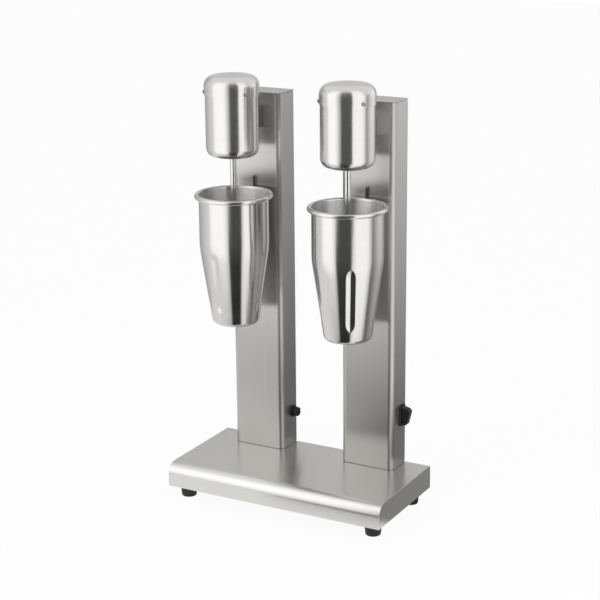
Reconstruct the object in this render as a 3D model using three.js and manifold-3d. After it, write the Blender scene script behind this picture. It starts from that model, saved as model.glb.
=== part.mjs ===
// Double-head milkshake mixer in millimetres, +Z up, front towards -Y.
// A folded steel base on rubber feet carries two hollow columns. Each column holds a motor head on a
// short neck and, under it, a malt cup that hangs by its rolled rim from a hook.
// The origin is the centre of the bounding box, on the surface that the feet stand on.
import * as THREE from 'three';
import { mergeVertices } from 'three/addons/utils/BufferGeometryUtils.js';
import Module from 'manifold-3d';

// Values that many pieces share.
const clearance = 0.3; // between neighbouring solids
const overrun = 3; // how far a cutter runs past what it cuts
const sheet = 1.2; // folded steel of the base and the columns

// Driving dimensions, piece by piece.
const base = { width: 310, depth: 154, height: 31, noseRadius: 15.5, heelRadius: 2.4, lip: 10,
  ductRadius: 12 };
const plate = { thickness: 1, inset: 3 };
const foot = { lift: 17, topRadius: 11.4, toeRadius: 9.8, edge: 1.2, insetX: 18.4, insetY: 21.3,
  recessRadius: 3.6, recessDepth: 5 };
const gland = { reach: 9, flangeRadius: 8, flangeThickness: 3, noseRadius: 5.4, bodyRadius: 6.4,
  boreRadius: 2.7, nutRadius: 9, nutThickness: 4, aboveBottom: 15 };
const terminal = { width: 44, depth: 18, height: 14, ridgeWidth: 4, ridgeHeight: 3, ridges: 4,
  fromBack: 48 };

const station = { spacing: 163, rimToColumn: 3.5 };
const column = { width: 75, depth: 38.7, height: 484.3, bend: 8, backInset: 1.6, lip: 9, wireHoleRadius: 7 };
const cover = { thickness: 1.2, edge: 0.4 };
const lid = { thickness: 1.2, skirtDepth: 9, skirtWall: 1.2 };

const head = { rise: 30.8, height: 106.5, radius: 33.9, wall: 1.2, cornerRadius: 12.5, crown: 1.6,
  mouthRadius: 8.2, lapHeight: 12, wireHoleRadius: 6 };
const cap = { wall: 0.8, skirt: 27, cornerRadius: 13, crown: 2.2 };
const capScrew = { headRadius: 2.6, headThickness: 1.5, shankRadius: 1.5, grip: 4, aboveSkirt: 4,
  angles: [-60, 60, 180] };
const neck = { halfWidth: 13, height: 36, wall: 2, belowColumnTop: 9.5, footRadius: 3 };

const spindle = { radius: 4, chamfer: 0.6 };
const agitator = { radius: 14, thickness: 2, hubRadius: 6.6, hubHeight: 12, socketDepth: 8, waves: 4,
  waveHeight: 1.8, aboveFloor: 19 };
const lowerBearing = { flangeRadius: 14, flangeThickness: 4, hubHeight: 9, hubRadius: 9 };
const upperBearing = { thickness: 3, hubRadius: 9, hubHeight: 7 };
const stator = { bore: 16, height: 34, coilInner: 19, coilOuter: 28.5, coilHeight: 8, aboveFloor: 20 };
const rotor = { runningGap: 0.5, height: 36, fanRadius: 13, fanHeight: 5 };

const cup = { rimRadius: 50.5, height: 171.2, bodyRadius: 45, wall: 0.8, underHead: 46.5,
  shoulderBelowRim: 70, shoulderRound: 22, toeRadius: 30, toeRound: 6.5, curlEnd: -48 };
const flute = { count: 4, width: 14, depth: 1.7, bottom: 19.8, top: 98.8, end: 9 };
const fluteCrowdingShare = 0.6; // how strongly the facets crowd towards the flutes
const fluteTurn = { left: -6, right: 32 }; // degrees from the front towards +X
const hook = { width: 8, thickness: 2, plateHeight: 16, shelfDrop: 7, lipThickness: 1.8 };
const lever = { width: 2.6, thickness: 1.2, rise: 13, drop: 3.5, stemRadius: 1.5, travel: 1.6,
  stemLength: 11 };
const bumper = { radius: 8, belowRim: 58, edge: 1.5 };
const microswitch = { width: 20, height: 12, depth: 11, belowStem: 3, leafWidth: 5, leafThickness: 0.6,
  leafRise: 6 };

const rocker = { bezelHeight: 28.4, bezelWidth: 14.6, bezelThickness: 2, bezelRound: 2, bodyHeight: 27,
  bodyWidth: 11.8, bodyDepth: 17, pocketHeight: 25.6, pocketWidth: 10, pocketDepth: 6.4, keelDrop: 4,
  aboveBase: 69.2, fromBack: 4.6, pivotOut: 1.6, faceOut: 11.6, halfLength: 12, tilt: 14, crownHalf: 7.5,
  shoulderIn: 0.4, skirt: 2.8 };
const paddleDepthShare = 0.35; // where the paddle's ends start to round over, as a share of its height
const paddleWaistShare = 0.42; // half width of the paddle's keel, as a share of its half length
const fuse = { flangeRadius: 8.2, flangeThickness: 2, barrelRadius: 6, barrelLength: 24, boreRadius: 4.2,
  boreDepth: 19, capRadius: 6.4, capOut: 9, plugRadius: 3.6, plugLength: 12, slotWidth: 1.4, slotDepth: 1.6,
  aboveBase: 47, fromBack: 10.5 };

// Facets round the turned pieces, and steps along their rounds.
const cupFacets = 32;
const headFacets = 24;
const smallFacets = 14;
const screwFacets = 8;
const cutterFacets = 64;
const noseSteps = 6;
const bendSteps = 6;
const skirtSteps = 3;
const archSteps = 5;
const paddleSteps = 5;
const cornerSteps = 4;
const domeSteps = 2;
const curlSteps = 5;
const shoulderSteps = 3;
const toeSteps = 3;

// Places that follow from the sizes above.
const frontY = -(base.depth + gland.reach) / 2;
const backY = frontY + base.depth;
const baseBottomZ = foot.lift;
const baseTopZ = baseBottomZ + base.height;
const columnBackY = backY - column.backInset;
const columnFrontY = columnBackY - column.depth;
const axisY = columnFrontY - station.rimToColumn - cup.rimRadius;
const columnTopZ = baseTopZ + column.height;
const headTopZ = columnTopZ + head.rise;
const headBottomZ = headTopZ - head.height;
const rimTopZ = headBottomZ - cup.underHead;
const cupBottomZ = rimTopZ - cup.height;

const steel = (color, roughness) => new THREE.MeshStandardMaterial({ color, roughness, metalness: 1 });
const plain = (color, roughness) => new THREE.MeshStandardMaterial({ color, roughness, metalness: 0 });
const brushedSteel = steel(0xb9b9b6, 0.35);
const polishedSteel = steel(0xd2d2d0, 0.18);
const zincSteel = steel(0x9a9c9e, 0.45);
const copper = steel(0xb4673a, 0.4);
const ironStack = steel(0x55585c, 0.55);
const brass = steel(0xb59a4e, 0.35);
const blackRubber = plain(0x1a1a1a, 0.8);
const blackPlastic = plain(0x141414, 0.45);
const ivoryPlastic = plain(0xd8d2c0, 0.5);

const wasm = await Module();
wasm.setup();

// Merges shared corners and leaves out triangles that have shrunk to a line.
function closed(geometry) {
  const bare = geometry.clone();
  bare.deleteAttribute('normal');
  bare.deleteAttribute('uv');
  const merged = mergeVertices(bare);
  const corners = merged.index.array;
  const kept = [];
  for (let i = 0; i < corners.length; i += 3) {
    const [a, b, c] = [corners[i], corners[i + 1], corners[i + 2]];
    if (a !== b && b !== c && c !== a) kept.push(a, b, c);
  }
  merged.setIndex(kept);
  return merged;
}

function solidOf(geometry) {
  const shell = closed(geometry);
  return new wasm.Manifold(new wasm.Mesh({
    numProp: 3,
    vertProperties: Float32Array.from(shell.attributes.position.array),
    triVerts: Uint32Array.from(shell.index.array),
  }));
}

function geometryOf(solid) {
  const mesh = solid.getMesh();
  const geometry = new THREE.BufferGeometry();
  geometry.setAttribute('position', new THREE.BufferAttribute(mesh.vertProperties, mesh.numProp));
  geometry.setIndex(new THREE.BufferAttribute(mesh.triVerts, 1));
  return geometry;
}

const carve = (body, ...cutters) =>
  geometryOf(cutters.reduce((rest, cutter) => rest.subtract(solidOf(cutter)), solidOf(body)));

const join = (first, ...others) =>
  geometryOf(others.reduce((whole, other) => whole.add(solidOf(other)), solidOf(first)));

const radians = THREE.MathUtils.degToRad;

// Points [across, up] on an arc, angles in degrees.
function arc(across, up, radius, from, to, steps) {
  return Array.from({ length: steps + 1 }, (_, i) => {
    const angle = radians(from + (to - from) * i / steps);
    return [across + radius * Math.cos(angle), up + radius * Math.sin(angle)];
  });
}

// Turns a profile of [radius, height] points about the Z axis. A profile that leaves the axis is a ring.
function turned(profile, facets) {
  const points = profile.map(([r, z]) => new THREE.Vector2(r, z));
  if (THREE.ShapeUtils.area(points) < 0) points.reverse();
  const onAxis = points[0].x === 0 && points[points.length - 1].x === 0;
  if (!onAxis) points.push(points[0].clone());
  return new THREE.LatheGeometry(points, facets).rotateX(Math.PI / 2);
}

// Extrudes a shape upwards, from height zero.
const raised = (shape, height, curveSegments = bendSteps) =>
  new THREE.ExtrudeGeometry(shape, { depth: height, bevelEnabled: false, curveSegments });

// Extrudes a side view drawn as (y, z) along +X, and a front view drawn as (x, z) along -Y.
const alongX = new THREE.Matrix4().makeBasis(
  new THREE.Vector3(0, 1, 0), new THREE.Vector3(0, 0, 1), new THREE.Vector3(1, 0, 0));
const alongY = new THREE.Matrix4().makeBasis(
  new THREE.Vector3(1, 0, 0), new THREE.Vector3(0, 0, 1), new THREE.Vector3(0, -1, 0));
const sideways = (shape, width, curveSegments) => raised(shape, width, curveSegments).applyMatrix4(alongX);
const frontways = (shape, depth, curveSegments) => raised(shape, depth, curveSegments).applyMatrix4(alongY);

// A block between two corners.
function block(low, high) {
  const size = high.map((value, i) => value - low[i]);
  const middle = high.map((value, i) => (value + low[i]) / 2);
  return new THREE.BoxGeometry(...size).translate(...middle);
}

// A round bar between two heights, and the same bar laid along Y or X.
const bar = (radius, from, to, facets = smallFacets) =>
  turned([[0, from], [radius, from], [radius, to], [0, to]], facets);
const barY = (radius, from, to, facets) => bar(radius, from, to, facets).rotateX(-Math.PI / 2);
const barX = (radius, from, to, facets) => bar(radius, from, to, facets).rotateY(Math.PI / 2);

function roundedRectangle(width, height, round) {
  const [w, h] = [width / 2, height / 2];
  const shape = new THREE.Shape();
  shape.moveTo(-w + round, -h);
  shape.lineTo(w - round, -h);
  shape.absarc(w - round, -h + round, round, -Math.PI / 2, 0, false);
  shape.absarc(w - round, h - round, round, 0, Math.PI / 2, false);
  shape.absarc(-w + round, h - round, round, Math.PI / 2, Math.PI, false);
  shape.absarc(-w + round, -h + round, round, Math.PI, Math.PI * 1.5, false);
  return shape;
}

function add(group, name, geometry, material, x = 0, y = 0, z = 0) {
  const mesh = new THREE.Mesh(closed(geometry), material);
  mesh.name = name;
  mesh.position.set(x, y, z);
  group.add(mesh);
  return mesh;
}

// Base

// Side view of the base, drawn from its front foot corner, moved inwards by an inset.
function baseOutline(inset) {
  const [front, back, top] = [inset, base.depth - inset, base.height - inset];
  const [nose, heel] = [base.noseRadius - inset, base.heelRadius - inset];
  const shape = new THREE.Shape();
  shape.moveTo(front, inset);
  shape.lineTo(back, inset);
  shape.absarc(back - heel, top - heel, heel, 0, Math.PI / 2, false);
  shape.absarc(front + nose, top - nose, nose, Math.PI / 2, Math.PI, false);
  return shape;
}

function baseShell() {
  const outside = sideways(baseOutline(0), base.width, noseSteps);
  const inside = sideways(baseOutline(sheet), base.width - 2 * sheet, noseSteps).translate(sheet, 0, 0);
  const mouth = block(
    [base.lip, base.lip, -overrun],
    [base.width - base.lip, base.depth - base.lip, sheet + overrun]);
  const duct = [base.ductRadius, base.height - sheet - overrun, base.height + overrun];
  const ducts = [-1, 1].map((side) => bar(...duct)
    .translate((base.width + side * station.spacing) / 2, columnMiddleFromFront, 0));
  const glandHole = barY(gland.bodyRadius + clearance, base.depth - sheet - overrun, base.depth + overrun)
    .translate(base.width / 2, 0, gland.aboveBottom);
  return carve(outside, inside, mouth, ...ducts, glandHole);
}

const columnMiddleFromFront = (columnFrontY + columnBackY) / 2 - frontY;

function bottomPlate() {
  return block(
    [-base.width / 2 + plate.inset, plate.inset, 0],
    [base.width / 2 - plate.inset, base.depth - plate.inset, plate.thickness]);
}

function rubberFoot(height) {
  const taper = foot.topRadius - foot.toeRadius;
  const slope = taper / height;
  return turned([
    [0, foot.recessDepth],
    [foot.recessRadius, foot.recessDepth],
    [foot.recessRadius, 0],
    [foot.toeRadius - foot.edge, 0],
    [foot.toeRadius + slope * foot.edge, foot.edge],
    [foot.topRadius - slope * foot.edge, height - foot.edge],
    [foot.topRadius - foot.edge, height],
    [0, height],
  ], smallFacets);
}

// The gland's axis is Z here, with the outside end up and the wall's outer face at zero.
function glandBody() {
  const nutTop = -sheet - clearance;
  return turned([
    [gland.boreRadius, nutTop - gland.nutThickness],
    [gland.nutRadius, nutTop - gland.nutThickness],
    [gland.nutRadius, nutTop],
    [gland.bodyRadius, nutTop],
    [gland.bodyRadius, clearance],
    [gland.flangeRadius, clearance],
    [gland.flangeRadius, clearance + gland.flangeThickness],
    [gland.noseRadius, gland.reach],
    [gland.boreRadius, gland.reach],
  ], smallFacets);
}

function terminalBlock() {
  const half = terminal.width / 2;
  const pitch = (terminal.width - terminal.ridgeWidth) / (terminal.ridges - 1);
  const ridges = Array.from({ length: terminal.ridges }, (_, i) => {
    const left = -half + i * pitch;
    return block([left, 0, 0], [left + terminal.ridgeWidth, terminal.depth, terminal.height]);
  });
  const body = block([-half, 0, 0], [half, terminal.depth, terminal.height - terminal.ridgeHeight]);
  return join(body, ...ridges);
}

// Columns

const channelDepth = column.depth - cover.thickness - clearance;
const channelHeight = column.height - clearance - lid.thickness - clearance;

// Plan of the folded channel: a front with two bends, two sides and two lips at the back.
function channelPlan() {
  const half = column.width / 2;
  const inner = column.bend - sheet;
  const shape = new THREE.Shape();
  shape.moveTo(-half + column.lip, channelDepth);
  shape.lineTo(-half, channelDepth);
  shape.absarc(-half + column.bend, column.bend, column.bend, Math.PI, Math.PI * 1.5, false);
  shape.absarc(half - column.bend, column.bend, column.bend, -Math.PI / 2, 0, false);
  shape.lineTo(half, channelDepth);
  shape.lineTo(half - column.lip, channelDepth);
  shape.lineTo(half - column.lip, channelDepth - sheet);
  shape.lineTo(half - sheet, channelDepth - sheet);
  shape.absarc(half - column.bend, column.bend, inner, 0, -Math.PI / 2, true);
  shape.absarc(-half + column.bend, column.bend, inner, -Math.PI / 2, -Math.PI, true);
  shape.lineTo(-half + sheet, channelDepth - sheet);
  shape.lineTo(-half + column.lip, channelDepth - sheet);
  return shape;
}

const neckTopZ = columnTopZ - neck.belowColumnTop;
const neckMiddleZ = neckTopZ - neck.height / 2;
const curlRadius = (cup.rimRadius - cup.bodyRadius + cup.wall) / 2;
const curlCentre = cup.rimRadius - curlRadius;
const curlZ = rimTopZ - curlRadius;
const stemZ = curlZ;
const rockerZ = baseTopZ + rocker.aboveBase;
const rockerY = columnBackY - rocker.fromBack - rocker.bezelWidth / 2;
const fuseZ = baseTopZ + fuse.aboveBase;
const fuseY = columnBackY - fuse.fromBack;

// The channel stands with its front face at y = 0 and its foot at z = 0. Side is +1 for the right station,
// whose column has the rocker's hole. The left one has the fuse's, and both are in the face towards +X.
function columnShell(side) {
  const footZ = baseTopZ + clearance;
  const half = column.width / 2;
  const wireHole = barY(column.wireHoleRadius, -overrun, sheet + overrun)
    .translate(0, 0, neckMiddleZ - footZ);
  const stemHole = barY(lever.stemRadius + clearance, -overrun, sheet + overrun, screwFacets)
    .translate(0, 0, stemZ - footZ);
  const rockerHole = block(
    [half - sheet - overrun, -rocker.bodyWidth / 2 - clearance, -rocker.bodyHeight / 2 - clearance],
    [half + overrun, rocker.bodyWidth / 2 + clearance, rocker.bodyHeight / 2 + clearance])
    .translate(0, rockerY - columnFrontY, rockerZ - footZ);
  const fuseHole = barX(fuse.barrelRadius + clearance, half - sheet - overrun, half + overrun)
    .translate(0, fuseY - columnFrontY, fuseZ - footZ);
  return carve(raised(channelPlan(), channelHeight), wireHole, stemHole, side > 0 ? rockerHole : fuseHole);
}

function columnBack() {
  const half = column.width / 2 - cover.edge;
  return block([-half, 0, 0], [half, cover.thickness, channelHeight]);
}

function lidPlan() {
  const half = column.width / 2;
  const shape = new THREE.Shape();
  shape.moveTo(half, column.depth);
  shape.lineTo(-half, column.depth);
  shape.absarc(-half + column.bend, column.bend, column.bend, Math.PI, Math.PI * 1.5, false);
  shape.absarc(half - column.bend, column.bend, column.bend, -Math.PI / 2, 0, false);
  return shape;
}

function columnTop() {
  const half = column.width / 2 - sheet - clearance;
  const [near, far] = [sheet + clearance, channelDepth - sheet - clearance];
  const plug = (inset, height) => raised(
    roundedRectangle(2 * (half - inset), far - near - 2 * inset, column.bend - inset), height, skirtSteps)
    .translate(0, (near + far) / 2, 0);
  const outside = plug(0, lid.skirtDepth + lid.thickness / 2);
  const hollow = plug(lid.skirtWall, lid.skirtDepth + overrun).translate(0, 0, -overrun);
  const roof = raised(lidPlan(), lid.thickness).translate(0, 0, lid.skirtDepth);
  return join(carve(outside, hollow), roof);
}

// Front view of the neck, centred, with its foot at z = 0, moved inwards by an inset.
function neckOutline(inset) {
  const half = neck.halfWidth - inset;
  const round = neck.footRadius - inset;
  const shape = new THREE.Shape();
  shape.moveTo(0, inset);
  shape.absarc(half - round, inset + round, round, -Math.PI / 2, 0, false);
  shape.absarc(0, neck.height - neck.halfWidth, half, 0, Math.PI, false);
  shape.absarc(-half + round, inset + round, round, Math.PI, Math.PI * 1.5, false);
  return shape;
}

// The neck runs from the column's face to the round shell of the head, whose axis is at the origin.
function neckTube() {
  const reach = columnFrontY - axisY - clearance;
  const outside = frontways(neckOutline(0), reach, archSteps).translate(0, reach, 0);
  const inside = frontways(neckOutline(neck.wall), reach + 2 * overrun, archSteps)
    .translate(0, reach + overrun, 0);
  const shell = bar(head.radius + clearance, -overrun, neck.height + overrun, cutterFacets);
  return carve(outside, shell, inside);
}

// Motor heads

const lapTop = head.height - cap.skirt + head.lapHeight;
const shellInner = head.radius - head.wall;

// Profiles of the head have z = 0 at its lowest point.
function headShell() {
  const corner = head.cornerRadius;
  const outer = arc(head.radius - corner, head.crown + corner, corner, -90, 0, cornerSteps);
  const inner = arc(head.radius - corner, head.crown + corner, corner - head.wall, 0, -90, cornerSteps);
  const shell = turned([
    [head.mouthRadius, 0],
    ...outer,
    [head.radius, lapTop],
    [shellInner, lapTop],
    ...inner,
    [head.mouthRadius, head.wall],
  ], headFacets);
  const wireHole = barY(head.wireHoleRadius, 0, head.radius + overrun, screwFacets)
    .translate(0, 0, neckMiddleZ - headBottomZ);
  return carve(shell, wireHole, ...capScrewHoles(capScrew.shankRadius + clearance));
}

const capOuter = head.radius + clearance + cap.wall;
const capFoot = head.height - cap.skirt;

// Outer line of the cap from the skirt's foot to the axis, moved inwards by an inset.
function capLine(inset) {
  const corner = cap.cornerRadius;
  const shoulder = head.height - cap.crown - corner;
  const flat = capOuter - corner;
  const domeStart = head.height - cap.crown - inset;
  const dome = Array.from({ length: domeSteps }, (_, i) => {
    const share = 1 - (i + 1) / domeSteps;
    return [flat * share, domeStart + cap.crown * (1 - share * share)];
  });
  return [[capOuter - inset, capFoot], ...arc(flat, shoulder, corner - inset, 0, 90, cornerSteps), ...dome];
}

function headCap() {
  const shell = turned([...capLine(0), ...capLine(cap.wall).reverse()], headFacets);
  return carve(shell, ...capScrewHoles(capScrew.shankRadius + clearance));
}

const capScrewZ = capFoot + capScrew.aboveSkirt;

function capScrewHoles(radius) {
  return capScrew.angles.map((angle) => barY(radius, -capOuter - overrun, -shellInner + overrun, screwFacets)
    .translate(0, 0, capScrewZ).rotateZ(radians(angle)));
}

// The screw points along +Z with its head's outer face down, at z = 0.
function capScrewBody() {
  const edge = capScrew.headThickness / 3;
  return turned([
    [0, 0],
    [capScrew.headRadius - edge, 0],
    [capScrew.headRadius, edge],
    [capScrew.headRadius, capScrew.headThickness],
    [capScrew.shankRadius, capScrew.headThickness],
    [capScrew.shankRadius, capScrew.headThickness + capScrew.grip],
    [0, capScrew.headThickness + capScrew.grip],
  ], screwFacets);
}

const shaftBore = spindle.radius + clearance;

// The bush drops through the mouth of the shell and its flange sits over the coned floor.
function lowerBearingBody() {
  const cone = head.crown / (head.radius - head.cornerRadius - head.mouthRadius);
  const seat = head.wall + cone * (lowerBearing.flangeRadius - head.mouthRadius) + clearance;
  return turned([
    [shaftBore, head.crown / 2],
    [head.mouthRadius - clearance, head.crown / 2],
    [head.mouthRadius - clearance, seat],
    [lowerBearing.flangeRadius, seat],
    [lowerBearing.flangeRadius, seat + lowerBearing.flangeThickness],
    [lowerBearing.hubRadius, seat + lowerBearing.flangeThickness],
    [lowerBearing.hubRadius, seat + lowerBearing.hubHeight],
    [shaftBore, seat + lowerBearing.hubHeight],
  ], smallFacets);
}

// Laminated ring with the coil ends standing above and below it.
function statorBody() {
  const outer = shellInner - clearance;
  return turned([
    [stator.bore, stator.coilHeight],
    [stator.coilInner, stator.coilHeight],
    [stator.coilInner, 0],
    [stator.coilOuter, 0],
    [stator.coilOuter, stator.coilHeight],
    [outer, stator.coilHeight],
    [outer, stator.coilHeight + stator.height],
    [stator.coilOuter, stator.coilHeight + stator.height],
    [stator.coilOuter, 2 * stator.coilHeight + stator.height],
    [stator.coilInner, 2 * stator.coilHeight + stator.height],
    [stator.coilInner, stator.coilHeight + stator.height],
    [stator.bore, stator.coilHeight + stator.height],
  ], headFacets);
}

const coilTop = stator.aboveFloor + 2 * stator.coilHeight + stator.height;

function upperBearingBody() {
  return turned([
    [shaftBore, 0],
    [shellInner - clearance, 0],
    [shellInner - clearance, upperBearing.thickness],
    [upperBearing.hubRadius, upperBearing.thickness],
    [upperBearing.hubRadius, upperBearing.hubHeight],
    [shaftBore, upperBearing.hubHeight],
  ], headFacets);
}

function rotorBody() {
  const radius = stator.bore - rotor.runningGap;
  return turned([
    [shaftBore, 0],
    [radius, 0],
    [radius, rotor.height],
    [rotor.fanRadius, rotor.height],
    [rotor.fanRadius, rotor.height + rotor.fanHeight],
    [shaftBore, rotor.height + rotor.fanHeight],
  ], smallFacets);
}

const agitatorZ = cupBottomZ + cup.wall + agitator.aboveFloor;
const spindleFootZ = agitatorZ + agitator.hubHeight - agitator.socketDepth + clearance;
const upperBearingZ = headBottomZ + coilTop + clearance;
const spindleTopZ = upperBearingZ + upperBearing.hubHeight;

function spindleRod() {
  const length = spindleTopZ - spindleFootZ;
  return turned([
    [0, 0],
    [spindle.radius - spindle.chamfer, 0],
    [spindle.radius, spindle.chamfer],
    [spindle.radius, length - spindle.chamfer],
    [spindle.radius - spindle.chamfer, length],
    [0, length],
  ], smallFacets);
}

// A waved disc round a hub whose socket takes the spindle's foot.
function agitatorDisc() {
  const rings = 2;
  const rim = Array.from({ length: rings }, (_, i) =>
    agitator.hubRadius + (agitator.radius - agitator.hubRadius) * (i + 1) / rings);
  const floor = agitator.hubHeight - agitator.socketDepth;
  const disc = turned([
    [0, -agitator.thickness / 2],
    [agitator.hubRadius, -agitator.thickness / 2],
    ...rim.map((r) => [r, -agitator.thickness / 2]),
    ...rim.map((r) => [r, agitator.thickness / 2]).reverse(),
    [agitator.hubRadius, agitator.thickness / 2],
    [agitator.hubRadius, agitator.hubHeight],
    [shaftBore, agitator.hubHeight],
    [shaftBore, floor],
    [0, floor],
  ], headFacets);
  const places = disc.attributes.position;
  for (let i = 0; i < places.count; i += 1) {
    const [x, y, z] = [places.getX(i), places.getY(i), places.getZ(i)];
    const reach = (Math.hypot(x, y) - agitator.hubRadius) / (agitator.radius - agitator.hubRadius);
    const wave = Math.cos(agitator.waves * Math.atan2(y, x)) * Math.max(reach, 0);
    places.setZ(i, z + agitator.waveHeight * wave);
  }
  return disc;
}

// Cups

// Straight wall down to the shoulder, rounded into a cone that ends in a rounded toe. Returns the wall's
// outer line from the axis under the floor to the foot of the curl, moved inwards by an inset.
function cupWall(inset) {
  const shoulderZ = cup.height - cup.shoulderBelowRim;
  const lean = Math.atan2(cup.bodyRadius - cup.toeRadius, shoulderZ);
  const leanDegrees = THREE.MathUtils.radToDeg(lean);
  const toe = cup.toeRound - inset;
  const toeUp = inset + toe;
  const coneAt = (z) => cup.bodyRadius - inset / Math.cos(lean) - (shoulderZ - z) * Math.tan(lean);
  const toeCentre = coneAt(toeUp) - toe / Math.cos(lean);
  const tangentDrop = cup.shoulderRound / 2;
  const tangentRadius = tangentDrop / Math.tan(lean / 2);
  const bend = arc(cup.bodyRadius - inset - tangentRadius, shoulderZ + tangentDrop, tangentRadius,
    -leanDegrees, 0, shoulderSteps);
  return [
    [0, inset],
    ...arc(toeCentre, toeUp, toe, -90, -leanDegrees, toeSteps),
    ...coneSteps(bend[0][1], toeUp).map((z) => [coneAt(z), z]),
    ...bend,
  ];
}

// Heights at which the cone carries a ring, close together where a flute starts and ends.
function coneSteps(top, bottom) {
  const places = [flute.bottom, flute.bottom + flute.end / 2, flute.bottom + flute.end,
    flute.top - flute.end, flute.top - flute.end / 2, flute.top];
  return places.filter((z) => z > bottom && z < top);
}

// How far a flute draws the wall inwards at a height and at a distance round the wall from its middle.
function fluteDepth(z, across) {
  const along = Math.min(z - flute.bottom, flute.top - z) / flute.end;
  if (along <= 0 || Math.abs(across) >= flute.width / 2) return 0;
  const ease = Math.sin(Math.min(along, 1) * Math.PI / 2);
  return flute.depth * ease * Math.cos(Math.PI * across / flute.width) ** 2;
}

function cupBody() {
  const curl = arc(curlCentre, cup.height - curlRadius, curlRadius, 180, cup.curlEnd, curlSteps);
  const curlInside = arc(curlCentre, cup.height - curlRadius, curlRadius - cup.wall, cup.curlEnd, 180,
    curlSteps);
  const shell = turned([...cupWall(cup.wall), ...curl, ...curlInside, ...cupWall(0).reverse()], cupFacets);
  const places = shell.attributes.position;
  const period = 2 * Math.PI / flute.count;
  for (let i = 0; i < places.count; i += 1) {
    const [x, y, z] = [places.getX(i), places.getY(i), places.getZ(i)];
    const radius = Math.hypot(x, y);
    const even = Math.atan2(y, x);
    const crowding = z < flute.top + flute.end ? fluteCrowdingShare : 0;
    const angle = even - Math.sin(flute.count * even) * crowding / flute.count;
    const offset = angle - Math.round(angle / period) * period;
    const onWall = z > cup.toeRound ? fluteDepth(z, offset * radius) : 0;
    places.setXYZ(i, (radius - onWall) * Math.cos(angle), (radius - onWall) * Math.sin(angle), z);
  }
  return shell;
}

// Side view, y measured from the cup's axis and z from the rim curl's centre: a plate on the column, a
// shelf under the rim and a lip that stands up inside the curl.
function cupHook() {
  const face = columnFrontY - axisY - clearance;
  const lip = hook.lipThickness / 2;
  const sag = curlCentre - Math.sqrt(curlCentre ** 2 - (hook.width / 2) ** 2);
  const hollow = curlRadius - cup.wall;
  const lipTop = Math.sqrt(hollow ** 2 - (lip + sag) ** 2) - clearance;
  const shelf = -hook.shelfDrop;
  const shape = new THREE.Shape();
  shape.moveTo(face, shelf);
  shape.lineTo(curlCentre + lip, shelf);
  shape.lineTo(curlCentre + lip, lipTop);
  shape.lineTo(curlCentre - lip, lipTop);
  shape.lineTo(curlCentre - lip, shelf - hook.thickness);
  shape.lineTo(face - hook.thickness, shelf - hook.thickness);
  shape.lineTo(face - hook.thickness, shelf - hook.plateHeight);
  shape.lineTo(face, shelf - hook.plateHeight);
  return sideways(shape, hook.width, bendSteps).translate(-hook.width / 2, 0, 0);
}

// An upright tab behind the rim on a stem that runs into the column.
function startLever() {
  const front = cup.rimRadius + clearance;
  const back = front + lever.thickness;
  const half = lever.width / 2;
  const top = curlRadius + lever.rise;
  const tab = block([-half, front, -lever.drop], [half, back, top]);
  const stem = barY(lever.stemRadius, back - lever.thickness / 2, back + lever.stemLength, screwFacets);
  return join(tab, stem);
}

function cupBumper() {
  const height = columnFrontY - axisY - cup.bodyRadius - 2 * clearance;
  return turned([
    [0, 0],
    [bumper.radius, 0],
    [bumper.radius, height - bumper.edge],
    [bumper.radius - bumper.edge, height],
    [0, height],
  ], smallFacets).rotateX(Math.PI / 2);
}

// The switch stands on the inner face of the column under the lever's stem, with its leaf behind the stem.
function microswitchBody() {
  const near = columnFrontY - axisY + sheet + clearance;
  const stemEnd = cup.rimRadius + clearance + lever.thickness + lever.stemLength;
  const leaf = stemEnd + lever.travel + clearance;
  const top = -microswitch.belowStem;
  const depth = Math.max(microswitch.depth, leaf + microswitch.leafThickness - near);
  const body = block(
    [-microswitch.width / 2, near, top - microswitch.height],
    [microswitch.width / 2, near + depth, top]);
  const blade = block(
    [-microswitch.leafWidth / 2, leaf, top - microswitch.height / 2],
    [microswitch.leafWidth / 2, leaf + microswitch.leafThickness, top + microswitch.leafRise]);
  return join(body, blade);
}

// Switch and fuse

// The outward direction is +X, with the column's side face at x = 0 and the switch's middle at the origin.
function rockerHousing() {
  const bezel = sideways(roundedRectangle(rocker.bezelWidth, rocker.bezelHeight, rocker.bezelRound),
    rocker.bezelThickness, skirtSteps).translate(clearance, 0, 0);
  const body = block(
    [-rocker.bodyDepth, -rocker.bodyWidth / 2, -rocker.bodyHeight / 2],
    [clearance + rocker.bezelThickness / 2, rocker.bodyWidth / 2, rocker.bodyHeight / 2]);
  const pocket = block(
    [-rocker.pocketDepth, -rocker.pocketWidth / 2, -rocker.pocketHeight / 2],
    [rocker.bezelThickness + overrun, rocker.pocketWidth / 2, rocker.pocketHeight / 2]);
  return carve(join(bezel, body), pocket);
}

// The paddle's pivot is the origin, with its outer face towards +X before it is tilted.
function rockerPaddle() {
  const face = rocker.faceOut - rocker.pivotOut;
  const half = rocker.halfLength;
  const square = face * paddleDepthShare;
  const waist = half * paddleWaistShare;
  const shape = new THREE.Shape();
  shape.moveTo(-waist, -rocker.keelDrop);
  shape.lineTo(waist, -rocker.keelDrop);
  shape.lineTo(half, -rocker.skirt);
  shape.lineTo(half, square);
  shape.quadraticCurveTo(half - rocker.shoulderIn, face, rocker.crownHalf, face);
  shape.lineTo(-rocker.crownHalf, face);
  shape.quadraticCurveTo(-half + rocker.shoulderIn, face, -half, square);
  shape.lineTo(-half, -rocker.skirt);
  const width = rocker.pocketWidth - 2 * clearance;
  return frontways(shape, width, paddleSteps).translate(0, width / 2, 0).rotateY(Math.PI / 2);
}

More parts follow.
